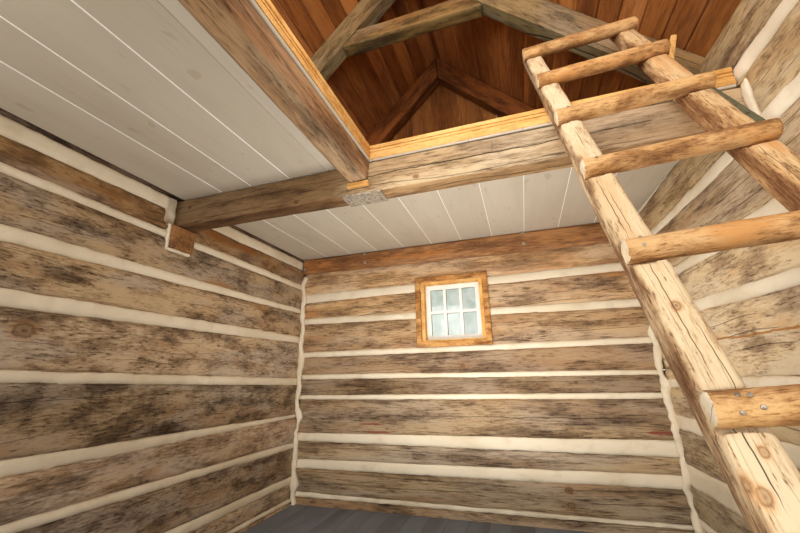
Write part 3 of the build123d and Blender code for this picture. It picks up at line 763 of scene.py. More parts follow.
def wood(name, look, turn, seed=0.0, centre=(0.0, 0.0, 0.0), depth=0.004, strength=0.7, tones=False,
         rise=None, flank=None, fade=None, node=None):
    """Old wood whose grain runs along a piece.

    rise is the span of Z over which it gets darker and more marked, and flank the span off the
    centre line over which it gets dirtier. fade is an axis, a span of it and the tint before it.
    node brings in the knots and splits that show on it."""
    material, tree, shader, coordinates = new_material(name, **{"Specular IOR Level": 0.25})
    along = turned(tree, coordinates, turn, centre)
    bias = look.bias
    if rise:
        level = tree.parts(coordinates)[2]
        bias = tree.step(level, *rise, look.bias, look.bias + look.high)
    if flank:
        off = tree.parts(along)[2]
        bias = tree.step(off, *flank, look.bias, look.bias + look.sides)
    if tones:
        tone = tree.board_tone()
        seed = tree.times(tone, 23.0)
    fine = tree.drawn(along, look.fine / look.drawn, look.fine, look.fine)
    made = use_group(tree, "old_wood", Vector=fine, Seed=seed, Pale=look.pale, Mid=look.mid,
                     Dark=look.dark, Stain=look.stain, Patches=look.patches, Grit=look.grit,
                     Staining=look.staining, Checks=look.checks, Greying=look.greying, Bias=bias)
    shade = made["Color"]
    if tones:
        shade = tree.mix(tone, tree.tinted(shade, 0.5, 0.42, 0.36), shade)
    for spot, reach in KNOTS.get(node, ()):
        shade = use_group(tree, "knot", Vector=turned(tree, coordinates, turn, spot), Reach=reach,
                          Color=shade, Core=look.mid, Ring=look.dark, Halo=look.stain)["Color"]
    for spot, half, width, inside in SPLITS.get(node, ()):
        shade = use_group(tree, "split", Vector=turned(tree, coordinates, turn, spot), Half=half,
                          Width=width, Color=shade, Split=paint(*inside))["Color"]
    # Faces that point down take the look's under tint, which on beams and rafters is painted shade.
    if look.under:
        facing = tree.node("ShaderNodeTexCoord").outputs["Normal"]
        down = tree.step(tree.parts(facing)[2], -0.75, -0.35, 1.0, 0.0)
        shade = tree.mix(down, shade, tree.tinted(shade, *look.under))
    # fade tints the span before it; on the cross beam that tint is painted shade.
    if fade:
        axis, start, end, tint = fade
        before = tree.step(tree.parts(coordinates)[axis], start, end, 1.0, 0.0)
        shade = tree.mix(before, shade, tree.tinted(shade, *tint))
    dress(tree, shader, shade, made["Height"], strength, depth, made["Roughness"])
    return material


def cut_end(name, look, turn, centre):
    """The sawn end of a log or pole."""
    material, tree, shader, coordinates = new_material(
        name, **{"Roughness": 0.85, "Specular IOR Level": 0.2})
    made = use_group(tree, "cut_end", Vector=turned(tree, coordinates, turn, centre),
                     Pale=look.pale, Dark=look.mid)
    dress(tree, shader, made["Color"], made["Height"], 0.6, 0.003)
    return material


def mortar(name, base):
    """Lime mortar."""
    material, tree, shader, coordinates = new_material(
        name, **{"Roughness": 0.9, "Specular IOR Level": 0.2})
    made = use_group(tree, "lime_mortar", Vector=coordinates, Base=(*base, 1.0))
    dress(tree, shader, made["Color"], made["Height"], 0.5, 0.003)
    return material


def paintwork(name, base, turn, grime=0.3, bare=(120, 96, 72), wear=0.0, tones=False):
    """Brushed paint on wood."""
    material, tree, shader, coordinates = new_material(name)
    inputs = {"Vector": turned(tree, coordinates, turn), "Base": (*base, 1.0), "Grime": grime,
              "Bare": paint(*bare), "Wear": wear}
    if tones:
        tone = tree.board_tone()
        inputs["Seed"] = tree.times(tone, 17.0)
    made = use_group(tree, "brushed_paint", **inputs)
    shade = made["Color"]
    if tones:
        shade = tree.mix(tone, tree.tinted(shade, 0.86, 0.84, 0.8), shade)
    dress(tree, shader, shade, made["Height"], 0.4, 0.002, made["Roughness"])
    return material


def joint_shade_and_highlight(name, shade, soiled=0.6):
    """Painted shade on a joint's bevel, soiled in places; on loft seams, paint and painted
    highlight.
    """
    material, tree, shader, coordinates = new_material(name, Roughness=0.85)
    dirt = tree.noise(coordinates, scale=60.0, detail=3)
    base = paint(*shade)
    darker = (*(value * soiled for value in base[:3]), 1.0)
    tree.feed(shader.inputs["Base Color"], tree.mix(dirt, darker, base))
    return material


def zinc(name):
    """Weathered galvanised steel with its spangle."""
    material, tree, shader, coordinates = new_material(name, Metallic=0.6)
    cells = tree.node("ShaderNodeTexVoronoi", {"Vector": coordinates, "Scale": 110.0})
    grey = tree.node("ShaderNodeSeparateColor", {0: cells.outputs["Color"]}).outputs[0]
    blotch = tree.noise(coordinates, scale=35.0, detail=4)
    # The warm tint of these greys is painted light, for the warm light that falls on the metal.
    shade = tree.mix(grey, paint(138, 126, 110), paint(196, 182, 160))
    shade = tree.mix(tree.step(blotch, 0.5, 0.7, 0.0, 0.6), shade, paint(116, 102, 84))
    dress(tree, shader, shade, blotch, 0.3, 0.001, tree.step(blotch, 0.3, 0.7, 0.4, 0.65))
    return material


def painted_steel(name):
    """Steel in old dark green paint."""
    material, tree, shader, coordinates = new_material(name, Roughness=0.6)
    blotch = tree.noise(coordinates, scale=40.0, detail=3)
    shade = tree.mix(blotch, paint(70, 68, 46), paint(108, 104, 78))
    dress(tree, shader, shade, blotch, 0.2, 0.001)
    return material


def glass(name):
    """Old window glass, faintly green and rippled."""
    material, tree, shader, coordinates = new_material(
        name, **{"Transmission Weight": 1.0, "Roughness": 0.04, "IOR": 1.45})
    ripple = tree.noise(coordinates, scale=14.0, detail=1)
    tint = tree.mix(tree.step(ripple, 0.3, 0.7), paint(196, 206, 192), paint(214, 220, 208))
    dress(tree, shader, tint, ripple, 0.1, 0.002)
    return material


FINISHES = {}


def finish(name, maker, *arguments, **settings):
    """A finish that several pieces share, made once."""
    if name not in FINISHES:
        FINISHES[name] = maker(name, *arguments, **settings)
    return FINISHES[name]


# Logs


def mark_ends(piece, axis, steep=0.8):
    """Give the second finish to the faces that lie square across the grain."""
    for face in piece.data.polygons:
        if abs(face.normal[axis]) > steep:
            face.material_index = 1


def hewn_log(node, look, turn, axis, seed, sizes):
    """One log: its solid, worked over with wandering edges and shallow axe facets."""
    name = node + "_hewn"
    low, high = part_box(node)
    piece = copy_of(node, name)
    regrid(piece, sizes.log_grid)
    roughen(piece, sizes.log_waves, 0.16, turn, stretch=3.0, middle=0.82, seed=seed)
    roughen(piece, sizes.axe_marks, 0.05, turn, stretch=1.8, middle=0.6, seed=seed + 5)
    thin(piece, 0.55)
    saw_square(piece)
    saw(piece, (0, 0, 0), (0, 0, -1))
    centre = (low + high) / 2
    clad(piece, wood(name, look, turn, seed=seed, depth=0.005, strength=0.8,
                     rise=(centre.z, high.z), node=node),
         cut_end(name + "_end", look, turn, centre))
    mark_ends(piece, axis)
    smooth(piece, 50)
    return place(piece, slot_of(node), node)


class CABIN_OT_logs(bpy.types.Operator):
    """Hew the logs of the three walls"""
    bl_idname = "cabin.logs"
    bl_label = "Hewn Logs"

    def execute(self, context):
        sizes = context.scene.cabin_sizes
        walls = {"left_hewn_logs": (LEFT_LOG, ALONG_Y, 1),
                 "right_hewn_logs": (RIGHT_LOG, ALONG_Y, 1),
                 "back_hewn_logs": (BACK_LOG, ALONG_X, 0)}
        for count, node in enumerate(sorted(frame["nodes"])):
            if slot_of(node) in walls:
                look, turn, axis = walls[slot_of(node)]
                shade, marks = LOG_LOOKS.get(node, (1.0, {}))
                hewn_log(node, look.shaded(shade, **marks), turn, axis, count + 1, sizes)
        return {"FINISHED"}


# Mortar


class CABIN_OT_mortar(bpy.types.Operator):
    """Press the mortar between the logs, round the beam's ends and down the corners"""
    bl_idname = "cabin.mortar"
    bl_label = "Mortar"

    def execute(self, context):
        sizes, colours = context.scene.cabin_sizes, context.scene.cabin_colours
        lime = finish("mortar", mortar, tuple(colours.mortar))
        for node in ("left_chinking", "right_chinking", "back_chinking"):
            turn = ALONG_X if node.startswith("back") else ALONG_Y
            piece = copy_of(node, node + "_mortar")
            regrid(piece, sizes.mortar_grid)
            finish_modifier(piece, "spread", "DISPLACE", mid_level=0.0,
                            strength=sizes.mortar_spread - SPREAD_LESS)
            roughen(piece, 0.012, 0.05, turn, stretch=1.5, middle=0.47, seed=3)
            thin(piece, 0.5)
            saw_square(piece)
            clad(piece, lime)
            smooth(piece, 60)
            place(piece, slot_of(node), node)
        beads = copy_of("beam_and_corner_mortar", "corner_and_beam_mortar")
        regrid(beads, BEAD_GRID)
        corners = beads.vertex_groups.new(name="corners")
        near = BACK_FACE - CORNER_REACH
        corners.add([vertex.index for vertex in beads.data.vertices if vertex.co.y > near], 1.0,
                    "REPLACE")
        roughen(beads, 0.010, 0.05, middle=0.3, seed=7)
        roughen(beads, 0.024, 0.11, middle=0.0, seed=6, only="corners")
        roughen(beads, 0.07, 0.16, seed=8, direction="X", only="corners")
        roughen(beads, 0.05, 0.16, seed=9, direction="Y", only="corners")
        thin(beads, 0.5)
        clad(beads, lime)
        smooth(beads, 60)
        place(beads, "chinking_mortar", "beam_and_corner_mortar")
        return {"FINISHED"}


# Boards


def plank(name, x0, x1, y0, y1, z0, z1, tone):
    """One board, with a value of its own for its colour."""
    piece = box(name, x0, x1, y0, y1, z0, z1)
    attribute = piece.data.attributes.new("tone", "FLOAT", "FACE")
    for entry in attribute.data:
        entry.value = tone
    return piece


def plank_row(name, edges, low, high, groove, chance, gap=0.0004):
    """Boards side by side along X between some edges, bevelled where they meet.

    low and high are the row's (y, z) corners."""
    planks = []
    for x0, x1 in zip(edges, edges[1:]):
        planks.append(plank(name, x0 + gap, x1 - gap, low[0], high[0], low[1], high[1],
                            chance.random()))
    row = join(planks, name)
    row.data.materials.append(None)
    row.data.materials.append(None)
    return bevel(row, groove, material=1)


def spaced(first, last, pitch):
    """Board edges at even steps from one place to another, with the last board cut narrower."""
    edges = [first]
    step = first + pitch
    while step < last - 0.02:
        edges.append(step)
        step += pitch
    return edges + [last]


class CABIN_OT_floor(bpy.types.Operator):
    """Lay the painted floor boards and their sleepers"""
    bl_idname = "cabin.floor"
    bl_label = "Floor"

    def execute(self, context):
        sizes, colours = context.scene.cabin_sizes, context.scene.cabin_colours
        low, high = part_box("floor_boards")
        row = plank_row("floor_planks", spaced(low.x, high.x, sizes.floor_board), (low.y, low.z),
                        (high.y, high.z), sizes.board_groove, random.Random(SEED))
        saw_at_right_wall(row, sizes)
        clad(row, finish("floor_paint", paintwork, tuple(colours.floor), ALONG_Y, grime=0.7,
                         bare=(134, 108, 82), wear=0.7, tones=True),
             finish("floor_joint", joint_shade_and_highlight, (58, 52, 46)))
        place(row, "floor_paint", "floor_boards")
        clad(frame["nodes"]["floor_sleepers"],
             finish("sleeper_wood", wood, SLEEPER, ALONG_X, seed=4.0))
        return {"FINISHED"}


class CABIN_OT_loft(bpy.types.Operator):
    """Lay the loft's painted boards, with white seams of paint and painted highlight in their joints
    """
    bl_idname = "cabin.loft"
    bl_label = "Loft Boards"

    def execute(self, context):
        sizes, colours = context.scene.cabin_sizes, context.scene.cabin_colours
        low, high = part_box("loft_boards")
        chance = random.Random(SEED + 1)
        back_joints = [x for x in BACK_JOINTS if x <= high.x]
        back = plank_row("loft_planks_back", [low.x, *back_joints, high.x], (BEAM_LOW.y, low.z),
                         (BACK_FACE, high.z), sizes.board_groove, chance)
        saw_at_right_wall(back, sizes)
        strip = plank_row("loft_planks_strip", [low.x, *STRIP_JOINTS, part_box("trimmer_beam")[1].x],
                          (FRONT, low.z), (BEAM_LOW.y, high.z), sizes.board_groove, chance)
        painted = finish("loft_paint", paintwork, tuple(colours.loft), ALONG_Y, grime=0.25,
                         wear=0.12, bare=(176, 160, 138), tones=True)
        for row in (back, strip):
            clad(row, painted, finish("loft_edge", joint_shade_and_highlight, (150, 138, 120)))
        place(join([back, strip], "loft_planks"), "loft_paint", "loft_boards")

        # The seams are white strips: partly the joints' white paint, partly a painted highlight of
        # the light that the grooves' edges catch.
        width = sizes.loft_seam
        seams = []
        for joints, y0, y1, half in ((STRIP_JOINTS[:-1], FRONT, BEAM_LOW.y, width / 2),
                                     (back_joints, BEAM_HIGH.y, BACK_FACE - SEAM_END,
                                      width * BACK_SEAM_SHARE / 2)):
            seams += [box("seam", x - half, x + half, y0, y1, low.z - SEAM_PROUD,
                          low.z + SEAM_DEPTH)
                      for x in joints if x < RIGHT_FACE - 0.05]
        seams = bevel(join(seams, "loft_seams"), 0.0008)
        clad(seams, finish("loft_joint", joint_shade_and_highlight, (255, 252, 244), 0.92))
        place(seams, "loft_paint")
        return {"FINISHED"}


def roof_row(side, sizes):
    """The boards of one slope, laid flat from the ridge and then turned to the pitch."""
    node = "left_roof_boards" if side < 0 else "right_roof_boards"
    low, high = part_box(node)
    run = EAVE_X / math.cos(PITCH) + PAST_EAVE
    joints = [FIRST_ROOF_JOINT[side] + sizes.roof_board * step
              for step in range(math.ceil(run / sizes.roof_board))]
    edges = [-PAST_RIDGE, *(x for x in joints if x < run), run]
    if side < 0:
        edges = [-x for x in reversed(edges)]
    row = plank_row(node + "_planks", edges, (low.y, -ROOF_THICKNESS), (high.y, 0.0), ROOF_BEVEL,
                    random.Random(SEED + 2 + side), gap=ROOF_GAP)
    row.rotation_euler = (0.0, side * PITCH, 0.0)
    row.location = (0.0, 0.0, RIDGE_TOP)
    settle(row)
    saw(row, (0, 0, 0), (-side, 0, 0))
    saw(row, (side * EAVE_X, 0, 0), (side, 0, 0))
    clad(row, finish("roof_boards", wood, ROOF, ALONG_Y, tones=True, depth=0.002, strength=0.4),
         finish("roof_joint", joint_shade_and_highlight, JOINT_BROWN))
    return place(row, "roof_boards", node)


class CABIN_OT_roof(bpy.types.Operator):
    """Board the two slopes and the gable"""
    bl_idname = "cabin.roof"
    bl_label = "Roof Boards"

    def execute(self, context):
        sizes = context.scene.cabin_sizes
        roof_row(-1, sizes)
        roof_row(1, sizes)
        low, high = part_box("gable_boards")
        row = plank_row("gable_planks", spaced(low.x, high.x, sizes.gable_board), (low.y, low.z),
                        (high.y, high.z), GABLE_BEVEL, random.Random(SEED + 5))
        for side in (-1, 1):
            saw(row, (0, 0, high.z), (side * math.sin(PITCH), 0, math.cos(PITCH)))
        clad(row, finish("gable_wood", wood, ROOF, ALONG_Z, tones=True, depth=0.002, strength=0.4),
             finish("roof_joint", joint_shade_and_highlight, JOINT_BROWN))
        place(row, "roof_boards", "gable_boards")
        return {"FINISHED"}


# Timbers


def timber(node, look, turn, seed, sizes, waves=0.008, ends_axis=None, grid=None, ratio=0.6,
           **marks):
    """A beam or post: its solid, worked over like the logs but straighter."""
    low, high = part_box(node)
    name = node + "_timber"
    piece = copy_of(node, name)
    regrid(piece, grid or sizes.beam_grid)
    roughen(piece, waves, 0.13, turn, stretch=3.5, middle=0.85, seed=seed)
    roughen(piece, waves * 0.4, 0.03, turn, stretch=3.0, middle=0.6, seed=seed + 2)
    thin(piece, ratio)
    saw_square(piece)
    clad(piece, wood(name, look, turn, seed=seed, node=node, **marks))
    if ends_axis is not None:
        piece.data.materials.append(cut_end(name + "_end", look, turn, (low + high) / 2))
        mark_ends(piece, ends_axis)
    smooth(piece, 50)
    return place(piece, slot_of(node), node)


class CABIN_OT_beams(bpy.types.Operator):
    """Shape the loft's beams, the ledger, the corbel and the cleat"""
    bl_idname = "cabin.beams"
    bl_label = "Loft Beams"

    def execute(self, context):
        sizes = context.scene.cabin_sizes
        # The cross beam's fade paints shade on its part left of the trimmer, where the hatch's light
        # doesn't fall.
        timber("cross_beam", BEAM, ALONG_X, 41, sizes, ends_axis=0,
               fade=(0, -0.40, -0.16, (0.38, 0.30, 0.22)))
        timber("trimmer_beam", TRIMMER, ALONG_Y, 43, sizes, ends_axis=1)
        timber("back_ledger", LEDGER, ALONG_X, 44, sizes, waves=0.004)
        timber("corbel_block", LEDGER.shaded(0.7, staining=1.0), ALONG_X, 45, sizes, waves=0.004,
               grid=0.008)
        timber("beam_cleat", BRIGHT_PINE.shaded(0.95), ALONG_X, 46, sizes, waves=0.002,
               grid=0.004)
        timber("guard_stub", BRIGHT_PINE, ALONG_Z, 47, sizes, waves=0.002, grid=0.005)
        return {"FINISHED"}


class CABIN_OT_rafters(bpy.types.Operator):
    """Shape the rafters and the collar tie"""
    bl_idname = "cabin.rafters"
    bl_label = "Rafters"

    def execute(self, context):
        sizes = context.scene.cabin_sizes
        behind = (1, BACK_FACE - 0.3, BACK_FACE - 0.5, (0.9, 0.40, 0.17))
        timber("left_rafters", RAFTER, (0.0, PITCH, 0.0), 51, sizes, fade=behind)
        timber("right_rafters", RAFTER.shaded(0.95), (0.0, -PITCH, 0.0), 52, sizes, fade=behind)
        timber("collar_tie", RAFTER.shaded((1.0, 0.86, 0.66), staining=0.7), ALONG_X, 53, sizes)
        return {"FINISHED"}


class CABIN_OT_trim(bpy.types.Operator):
    """Run the grooved pine trim round the loft's opening"""
    bl_idname = "cabin.trim"
    bl_label = "Edge Trim"

    def execute(self, context):
        sizes = context.scene.cabin_sizes
        low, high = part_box("loft_edge_trim")
        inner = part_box("trimmer_beam")[1].x
        third = (high.z - low.z) / 3
        strips = []
        z0 = low.z - TRIM_LIP
        for share, proud in TRIM_BANDS:
            z1 = low.z + third * share
            strips.append(box("trim", inner - TRIM_THICKNESS, high.x, BEAM_LOW.y - proud,
                              BEAM_LOW.y + TRIM_THICKNESS, z0, z1))
            strips.append(box("trim", inner - TRIM_THICKNESS, inner + proud, FRONT, BEAM_LOW.y,
                              z0, z1))
            z0 = z1
        saw(strips[0], (0, 0, low.z), (0, LIP_SLOPE, -1))
        saw(strips[1], (inner, 0, low.z), (-LIP_SLOPE, 0, -1))
        trim = bevel(join(strips, "edge_trim_bands"), 0.002, segments=2)
        saw_at_right_wall(trim, sizes)
        clad(trim, finish("trim_pine", wood, BRIGHT_PINE, ALONG_X, seed=8.0, depth=0.001,
                          strength=0.4))
        smooth(trim, 30)
        place(trim, "trim_pine", "loft_edge_trim")
        return {"FINISHED"}


# Window


class CABIN_OT_window(bpy.types.Operator):
    """Finish the window's casing, frame, sash and panes"""
    bl_idname = "cabin.window"
    bl_label = "Window"

    def execute(self, context):
        sizes, colours = context.scene.cabin_sizes, context.scene.cabin_colours
        timber("window_casing", CASING, ALONG_X, 61, sizes, waves=0.006, grid=0.006)
        nodes = frame["nodes"]
        clad(nodes["window_frame"], finish("frame_wood", wood, BRIGHT_PINE, ALONG_Y, seed=9.0,
                                           depth=0.001, strength=0.4))
        clad(nodes["window_sash"], finish("sash_paint", paintwork, tuple(colours.sash), ALONG_X,
                                          grime=0.2, wear=0.15))
        clad(nodes["window_panes"], finish("old_glass", glass))
        return {"FINISHED"}


# Ladder


class CABIN_OT_ladder(bpy.types.Operator):
    """Shape the ladder's rails and rungs"""
    bl_idname = "cabin.ladder"
    bl_label = "Pole Ladder"

    def execute(self, context):
        sizes = context.scene.cabin_sizes
        for node, look, offset, seed in (("ladder_left_rail", LEFT_RAIL, LEFT_RAIL_OFFSET, 71),
                                         ("ladder_right_rail", RIGHT_RAIL, RIGHT_RAIL_OFFSET, 72)):
            timber(node, look, ALONG_RAIL, seed, sizes, waves=0.006, grid=sizes.pole_grid,
                   ratio=0.5, centre=tuple(LADDER_ORIGIN + LADDER_SIDE * offset),
                   flank=(0.022, 0.05))
        rungs = timber("ladder_rungs", RUNG, ALONG_RUNG, 75, sizes, waves=0.005,
                       grid=sizes.pole_grid, ratio=0.5)
        rungs.data.materials.append(wood("rung_end", RUNG_END, ALONG_RUNG, seed=76))
        mark_ends(rungs, 0, steep=0.5)
        return {"FINISHED"}


# Ironwork


def disc(sides, radius, thickness, foot, edge):
    """A round or many-sided disc with a broken edge, standing on a height."""
    bpy.ops.object.select_all(action="DESELECT")
    bpy.ops.mesh.primitive_cylinder_add(vertices=sides, radius=radius, depth=thickness,
                                        location=(0, 0, thickness / 2 + foot))
    return settle(bevel(bpy.context.object, edge, segments=2))


def bolt(washer, head, sides=6):
    """A bolt's head on its round washer, or a domed screw head without one, made round Z."""
    parts = [disc(24, washer, WASHER_THICKNESS, 0.0, 0.001)] if washer else []
    foot = WASHER_THICKNESS if washer else 0.0
    parts.append(disc(sides, head, head * 0.6, foot, head * 0.22))
    return smooth(join(parts, "bolt"), 30)


def set_out(pattern, name, places):
    """Copies of a small part, each set at a spot with its top facing along a direction."""
    made = []
    for spot, outward in places:
        piece = bpy.data.objects.new(name, pattern.data.copy())
        bpy.context.scene.collection.objects.link(piece)
        turn = outward.to_track_quat("Z", "Y").to_matrix().to_4x4()
        piece.matrix_world = Matrix.Translation(spot) @ turn
        made.append(settle(piece))
    bpy.data.objects.remove(pattern)
    return join(made, name)


def on_rung(height, along, angle):
    """A spot on a rung's skin and the way it faces.

    along is measured off the rung's left end, and angle up from its front."""
    share = (height - RAIL_STOCK_FOOT) / RAIL_STOCK_LENGTH
    seat = RAIL_FOOT_DEPTH - RAIL_THINNING * share - RUNG_LAP
    turn = math.radians(angle)
    outward = LADDER_OUT * math.cos(turn) + LADDER_UP * math.sin(turn)
    centre = (LADDER_ORIGIN + LADDER_SIDE * (along + RUNG_LEFT_END) + LADDER_UP * height
              + LADDER_OUT * (seat + RUNG_CENTRE_OFF_SEAT))
    return centre + outward * RUNG_SKIN, outward


# Screws in the rungs' left ends: the rung's height, the way along it and the angle round it
RUNG_SCREWS = ((-1.422, 0.048, 21), (-1.422, 0.066, 17), (-1.422, 0.075, -21), (-1.422, 0.042, -33),
               (-1.005, 0.039, -21), (-1.005, 0.042, 36), (-0.616, 0.045, 10), (-0.245, 0.05, 14))

# The bolts' places along and up the ledger and how far off the wall their washers seat, and the
# places of the nails in the loft's boards and in the plate
LEDGER_BOLTS, BOLT_HEIGHTS, BOLT_SEAT = (-1.386, -0.759, 0.624), (2.177, 2.09), 0.0445
LOFT_NAILS = ((0.26, 0.35), (0.70, 0.31), (0.42, 0.93), (-0.55, 0.42), (-0.95, 0.6), (0.05, 0.7))
PLATE_NAILS = ((-0.28, -0.1), (-0.19, -0.085), (-0.09, -0.1), (-0.27, -0.03), (-0.1, -0.03))
WASHER_THICKNESS = 0.003

# The patch on the cross beam: its ends and its thickness
PLATE_LEFT, PLATE_RIGHT, PLATE_THICKNESS = -0.296, -0.076, 0.003

# The strap beside the right rail: its face off the ladder's plane, its nails' places along it, and
# its own place across and down the ladder
STRAP_FACE, STRAP_NAILS = 0.067, (-0.10, -0.04, 0.015)
STRAP_ACROSS, STRAP_DOWN = 0.249, 0.375


class CABIN_OT_ironwork(bpy.types.Operator):
    """Set the bolts, screws, nails and plates"""
    bl_idname = "cabin.ironwork"
    bl_label = "Ironwork"

    def execute(self, context):
        steel = finish("galvanised_steel", zinc)
        forward, down = Vector((0, -1, 0)), Vector((0, 0, -1))
        bolts = set_out(bolt(0.015, 0.008), "ledger_bolts",
                        [((x, BACK_FACE - BOLT_SEAT, z), forward)
                         for x in LEDGER_BOLTS for z in BOLT_HEIGHTS])
        screws = set_out(bolt(0, 0.0048, 12), "rung_screws",
                         [on_rung(*screw) for screw in RUNG_SCREWS])
        nails = set_out(bolt(0, 0.004, 8), "loft_nails",
                        [((x, y, LOFT_UNDER + 0.0005), down) for x, y in LOFT_NAILS])
        under = BEAM_LOW.z - PLATE_THICKNESS
        plate = box("beam_plate", PLATE_LEFT, PLATE_RIGHT, BEAM_LOW.y + 0.002, BEAM_HIGH.y - 0.004,
                    under, BEAM_LOW.z - 0.0005)
        fold = box("plate_fold", PLATE_LEFT + 0.006, PLATE_RIGHT - 0.004, BEAM_LOW.y - 0.0035,
                   BEAM_LOW.y + 0.004, under, BEAM_LOW.z + 0.010)
        heads = set_out(bolt(0, 0.004, 8), "plate_nails", [((x, y, under), down)
                                                           for x, y in PLATE_NAILS])
        plate = bevel(join([plate, fold, heads], "beam_plate"), 0.0006)

        strap = box("rail_strap", -0.028, 0.020, -0.16, 0.16, STRAP_FACE - 0.005, STRAP_FACE)
        heads = set_out(bolt(0, 0.005, 8), "strap_nails",
                        [((0.004, y, STRAP_FACE), Vector((0, 0, 1))) for y in STRAP_NAILS])
        strap = join([strap, heads], "rail_strap")
        ladder = Matrix((LADDER_SIDE, LADDER_UP, LADDER_OUT)).transposed().to_4x4()
        ladder.translation = LADDER_ORIGIN + LADDER_SIDE * STRAP_ACROSS - LADDER_UP * STRAP_DOWN
        strap.matrix_world = ladder @ Matrix.Rotation(math.radians(4), 4, "Z")
        settle(strap)
        dark = finish("dark_steel", painted_steel)
        for piece, slot, cover in ((bolts, "ledger_wood", steel), (screws, "rung_pole", steel),
                                   (nails, "loft_paint", dark), (plate, "beam_wood", steel),
                                   (strap, "ladder_pole", dark)):
            clad(piece, cover)
            place(piece, slot)
        return {"FINISHED"}


# Stage


# The lamps: kind, place, what each is aimed at, size in metres or a sun's spread, and power
LAMPS = (("front_lamp", "AREA", (0.3, -4.6, 2.2), (0.0, 1.0, 1.4), 3.4, 45),
         ("key_lamp", "AREA", (-5.0, -5.5, 6.5), (0, 0, 1.5), 3.0, 160),
         ("right_wall_sun", "SUN", (-2.8, -4.0, 2.0), (0.0, 0.0, 1.8), 0.7, 1.35),
         ("left_wall_sun", "SUN", (1.6, -4.0, 1.8), (0.0, 0.0, 1.8), 0.7, 0.75),
         ("side_lamp", "AREA", (-1.2, -2.6, 1.8), (1.4, 0.6, 1.6), 1.5, 26),
         ("room_lamp", "AREA", (0.15, 0.15, 0.75), (0.15, 0.75, 2.2), 1.1, 24),
         ("loft_lamp", "AREA", (0.4, -1.2, 2.75), (0.0, 0.8, 3.1), 0.8, 12))

# How strongly the sky lights the bay, and how bright it is where it is seen
SKY_LIGHT, SKY_SEEN = 0.75, 1.0


class CABIN_OT_stage(bpy.types.Operator):
    """Set the ground, the lights and the camera"""
    bl_idname = "cabin.stage"
    bl_label = "Stage"

    def execute(self, context):
        scene, colours = context.scene, context.scene.cabin_colours
        bpy.ops.object.select_all(action="DESELECT")
        bpy.ops.mesh.primitive_plane_add(size=40, location=(0, 0, -0.002))
        ground = bpy.context.object
        ground.name = "ground"
        settle(ground)
        material, tree, shader, coordinates = new_material("ground", Roughness=0.9)
        faint = tree.step(tree.noise(coordinates, scale=3.0, detail=3), 0.3, 0.7, 0.0, 0.05)
        shade = tree.mix(faint, (*colours.stage, 1.0), (0.5, 0.5, 0.5, 1.0))
        tree.feed(shader.inputs["Base Color"], shade)
        clad(ground, material)

        world = bpy.data.worlds.new("studio")
        scene.world = world
        world.use_nodes = True
        world.node_tree.nodes.clear()
        air = Tree(world.node_tree)
        path = air.node("ShaderNodeLightPath").outputs
        shown = air.math("MAXIMUM", path["Is Glossy Ray"], path["Is Transmission Ray"])
        shown = air.math("MAXIMUM", path["Is Camera Ray"], shown)
        white = (1, 1, 1, 1)
        lit = air.node("ShaderNodeBackground", {"Color": white, "Strength": SKY_LIGHT})
        seen = air.node("ShaderNodeBackground", {"Color": white, "Strength": SKY_SEEN})
        both = air.node("ShaderNodeMixShader", {0: shown, 1: lit.outputs[0], 2: seen.outputs[0]})
        air.node("ShaderNodeOutputWorld", {"Surface": both.outputs[0]})

        for name, kind, spot, aim, size, power in LAMPS:
            data = bpy.data.lights.new(name, kind)
            if kind == "SUN":
                data.angle = size
            else:
                data.size = size
            data.energy = power
            lamp = bpy.data.objects.new(name, data)
            lamp.location = spot
            lamp.rotation_euler = (Vector(aim) - Vector(spot)).to_track_quat("-Z", "Y").to_euler()
            lamp.visible_camera = False
            scene.collection.objects.link(lamp)

        camera_data = bpy.data.cameras.new("photo_view")
        camera_data.sensor_width = 36
        camera_data.lens = scene.cabin_sizes.lens
        camera_data.clip_start = 0.01
        camera = bpy.data.objects.new("photo_view", camera_data)
        camera.matrix_world = camera_matrix()
        scene.collection.objects.link(camera)
        scene.camera = camera
        scene.view_settings.view_transform = "Standard"
        return {"FINISHED"}


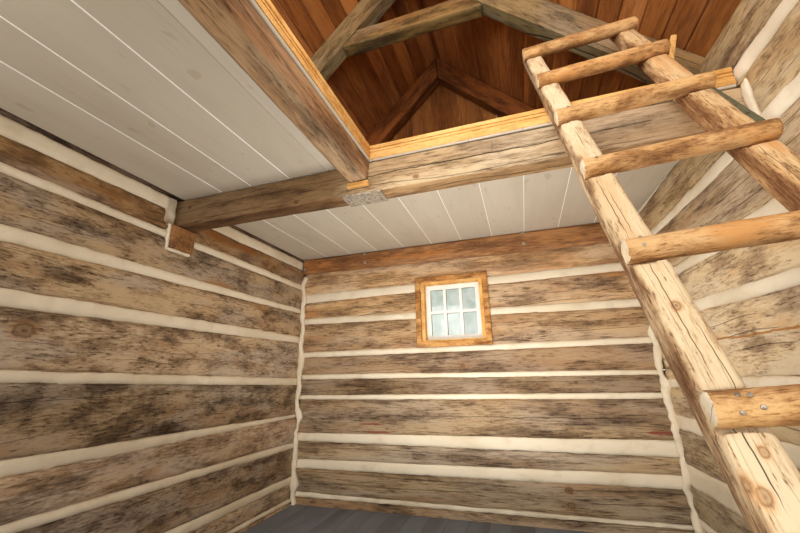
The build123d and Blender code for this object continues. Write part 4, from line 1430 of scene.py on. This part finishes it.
def camera_matrix():
    """The camera's place and turn, from its yaw, pitch and roll."""
    yaw, pitch, roll = (math.radians(angle) for angle in CAMERA_TURN)
    ahead = Vector((-math.sin(yaw) * math.cos(pitch), math.cos(yaw) * math.cos(pitch),
                    math.sin(pitch)))
    level = Vector((math.cos(yaw), math.sin(yaw), 0.0))
    rise = level.cross(ahead)
    right = level * math.cos(roll) + rise * math.sin(roll)
    up = rise * math.cos(roll) - level * math.sin(roll)
    matrix = Matrix((right, up, -ahead)).transposed().to_4x4()
    matrix.translation = CAMERA_PLACE
    return matrix


# The sidebar's panel, and the run


OPERATORS = (CABIN_OT_stage, CABIN_OT_logs, CABIN_OT_mortar, CABIN_OT_floor, CABIN_OT_loft,
             CABIN_OT_roof, CABIN_OT_beams, CABIN_OT_rafters, CABIN_OT_trim, CABIN_OT_window,
             CABIN_OT_ladder, CABIN_OT_ironwork)


class CABIN_PT_panel(bpy.types.Panel):
    """The cabin's sizes, colours and pieces"""
    bl_label = "Log Cabin"
    bl_idname = "CABIN_PT_panel"
    bl_space_type = "VIEW_3D"
    bl_region_type = "UI"
    bl_category = "Cabin"

    def draw(self, context):
        scene = context.scene
        for settings in (scene.cabin_sizes, scene.cabin_colours):
            column = self.layout.column(align=True)
            for key in settings.__annotations__:
                column.prop(settings, key)
        for operator in OPERATORS:
            self.layout.operator(operator.bl_idname)


CLASSES = (CabinSizes, CabinColours, *OPERATORS, CABIN_PT_panel)


def register():
    """Register the classes and their settings."""
    for item in CLASSES:
        bpy.utils.register_class(item)
    bpy.types.Scene.cabin_sizes = bpy.props.PointerProperty(type=CabinSizes)
    bpy.types.Scene.cabin_colours = bpy.props.PointerProperty(type=CabinColours)


def unregister():
    """Take the classes and their settings away again."""
    del bpy.types.Scene.cabin_colours
    del bpy.types.Scene.cabin_sizes
    for item in reversed(CLASSES):
        bpy.utils.unregister_class(item)


def main():
    """Build every piece, in order."""
    register()
    for operator in OPERATORS:
        group_name, action = operator.bl_idname.split(".")
        getattr(getattr(bpy.ops, group_name), action)()


if __name__ == "__main__":
    main()
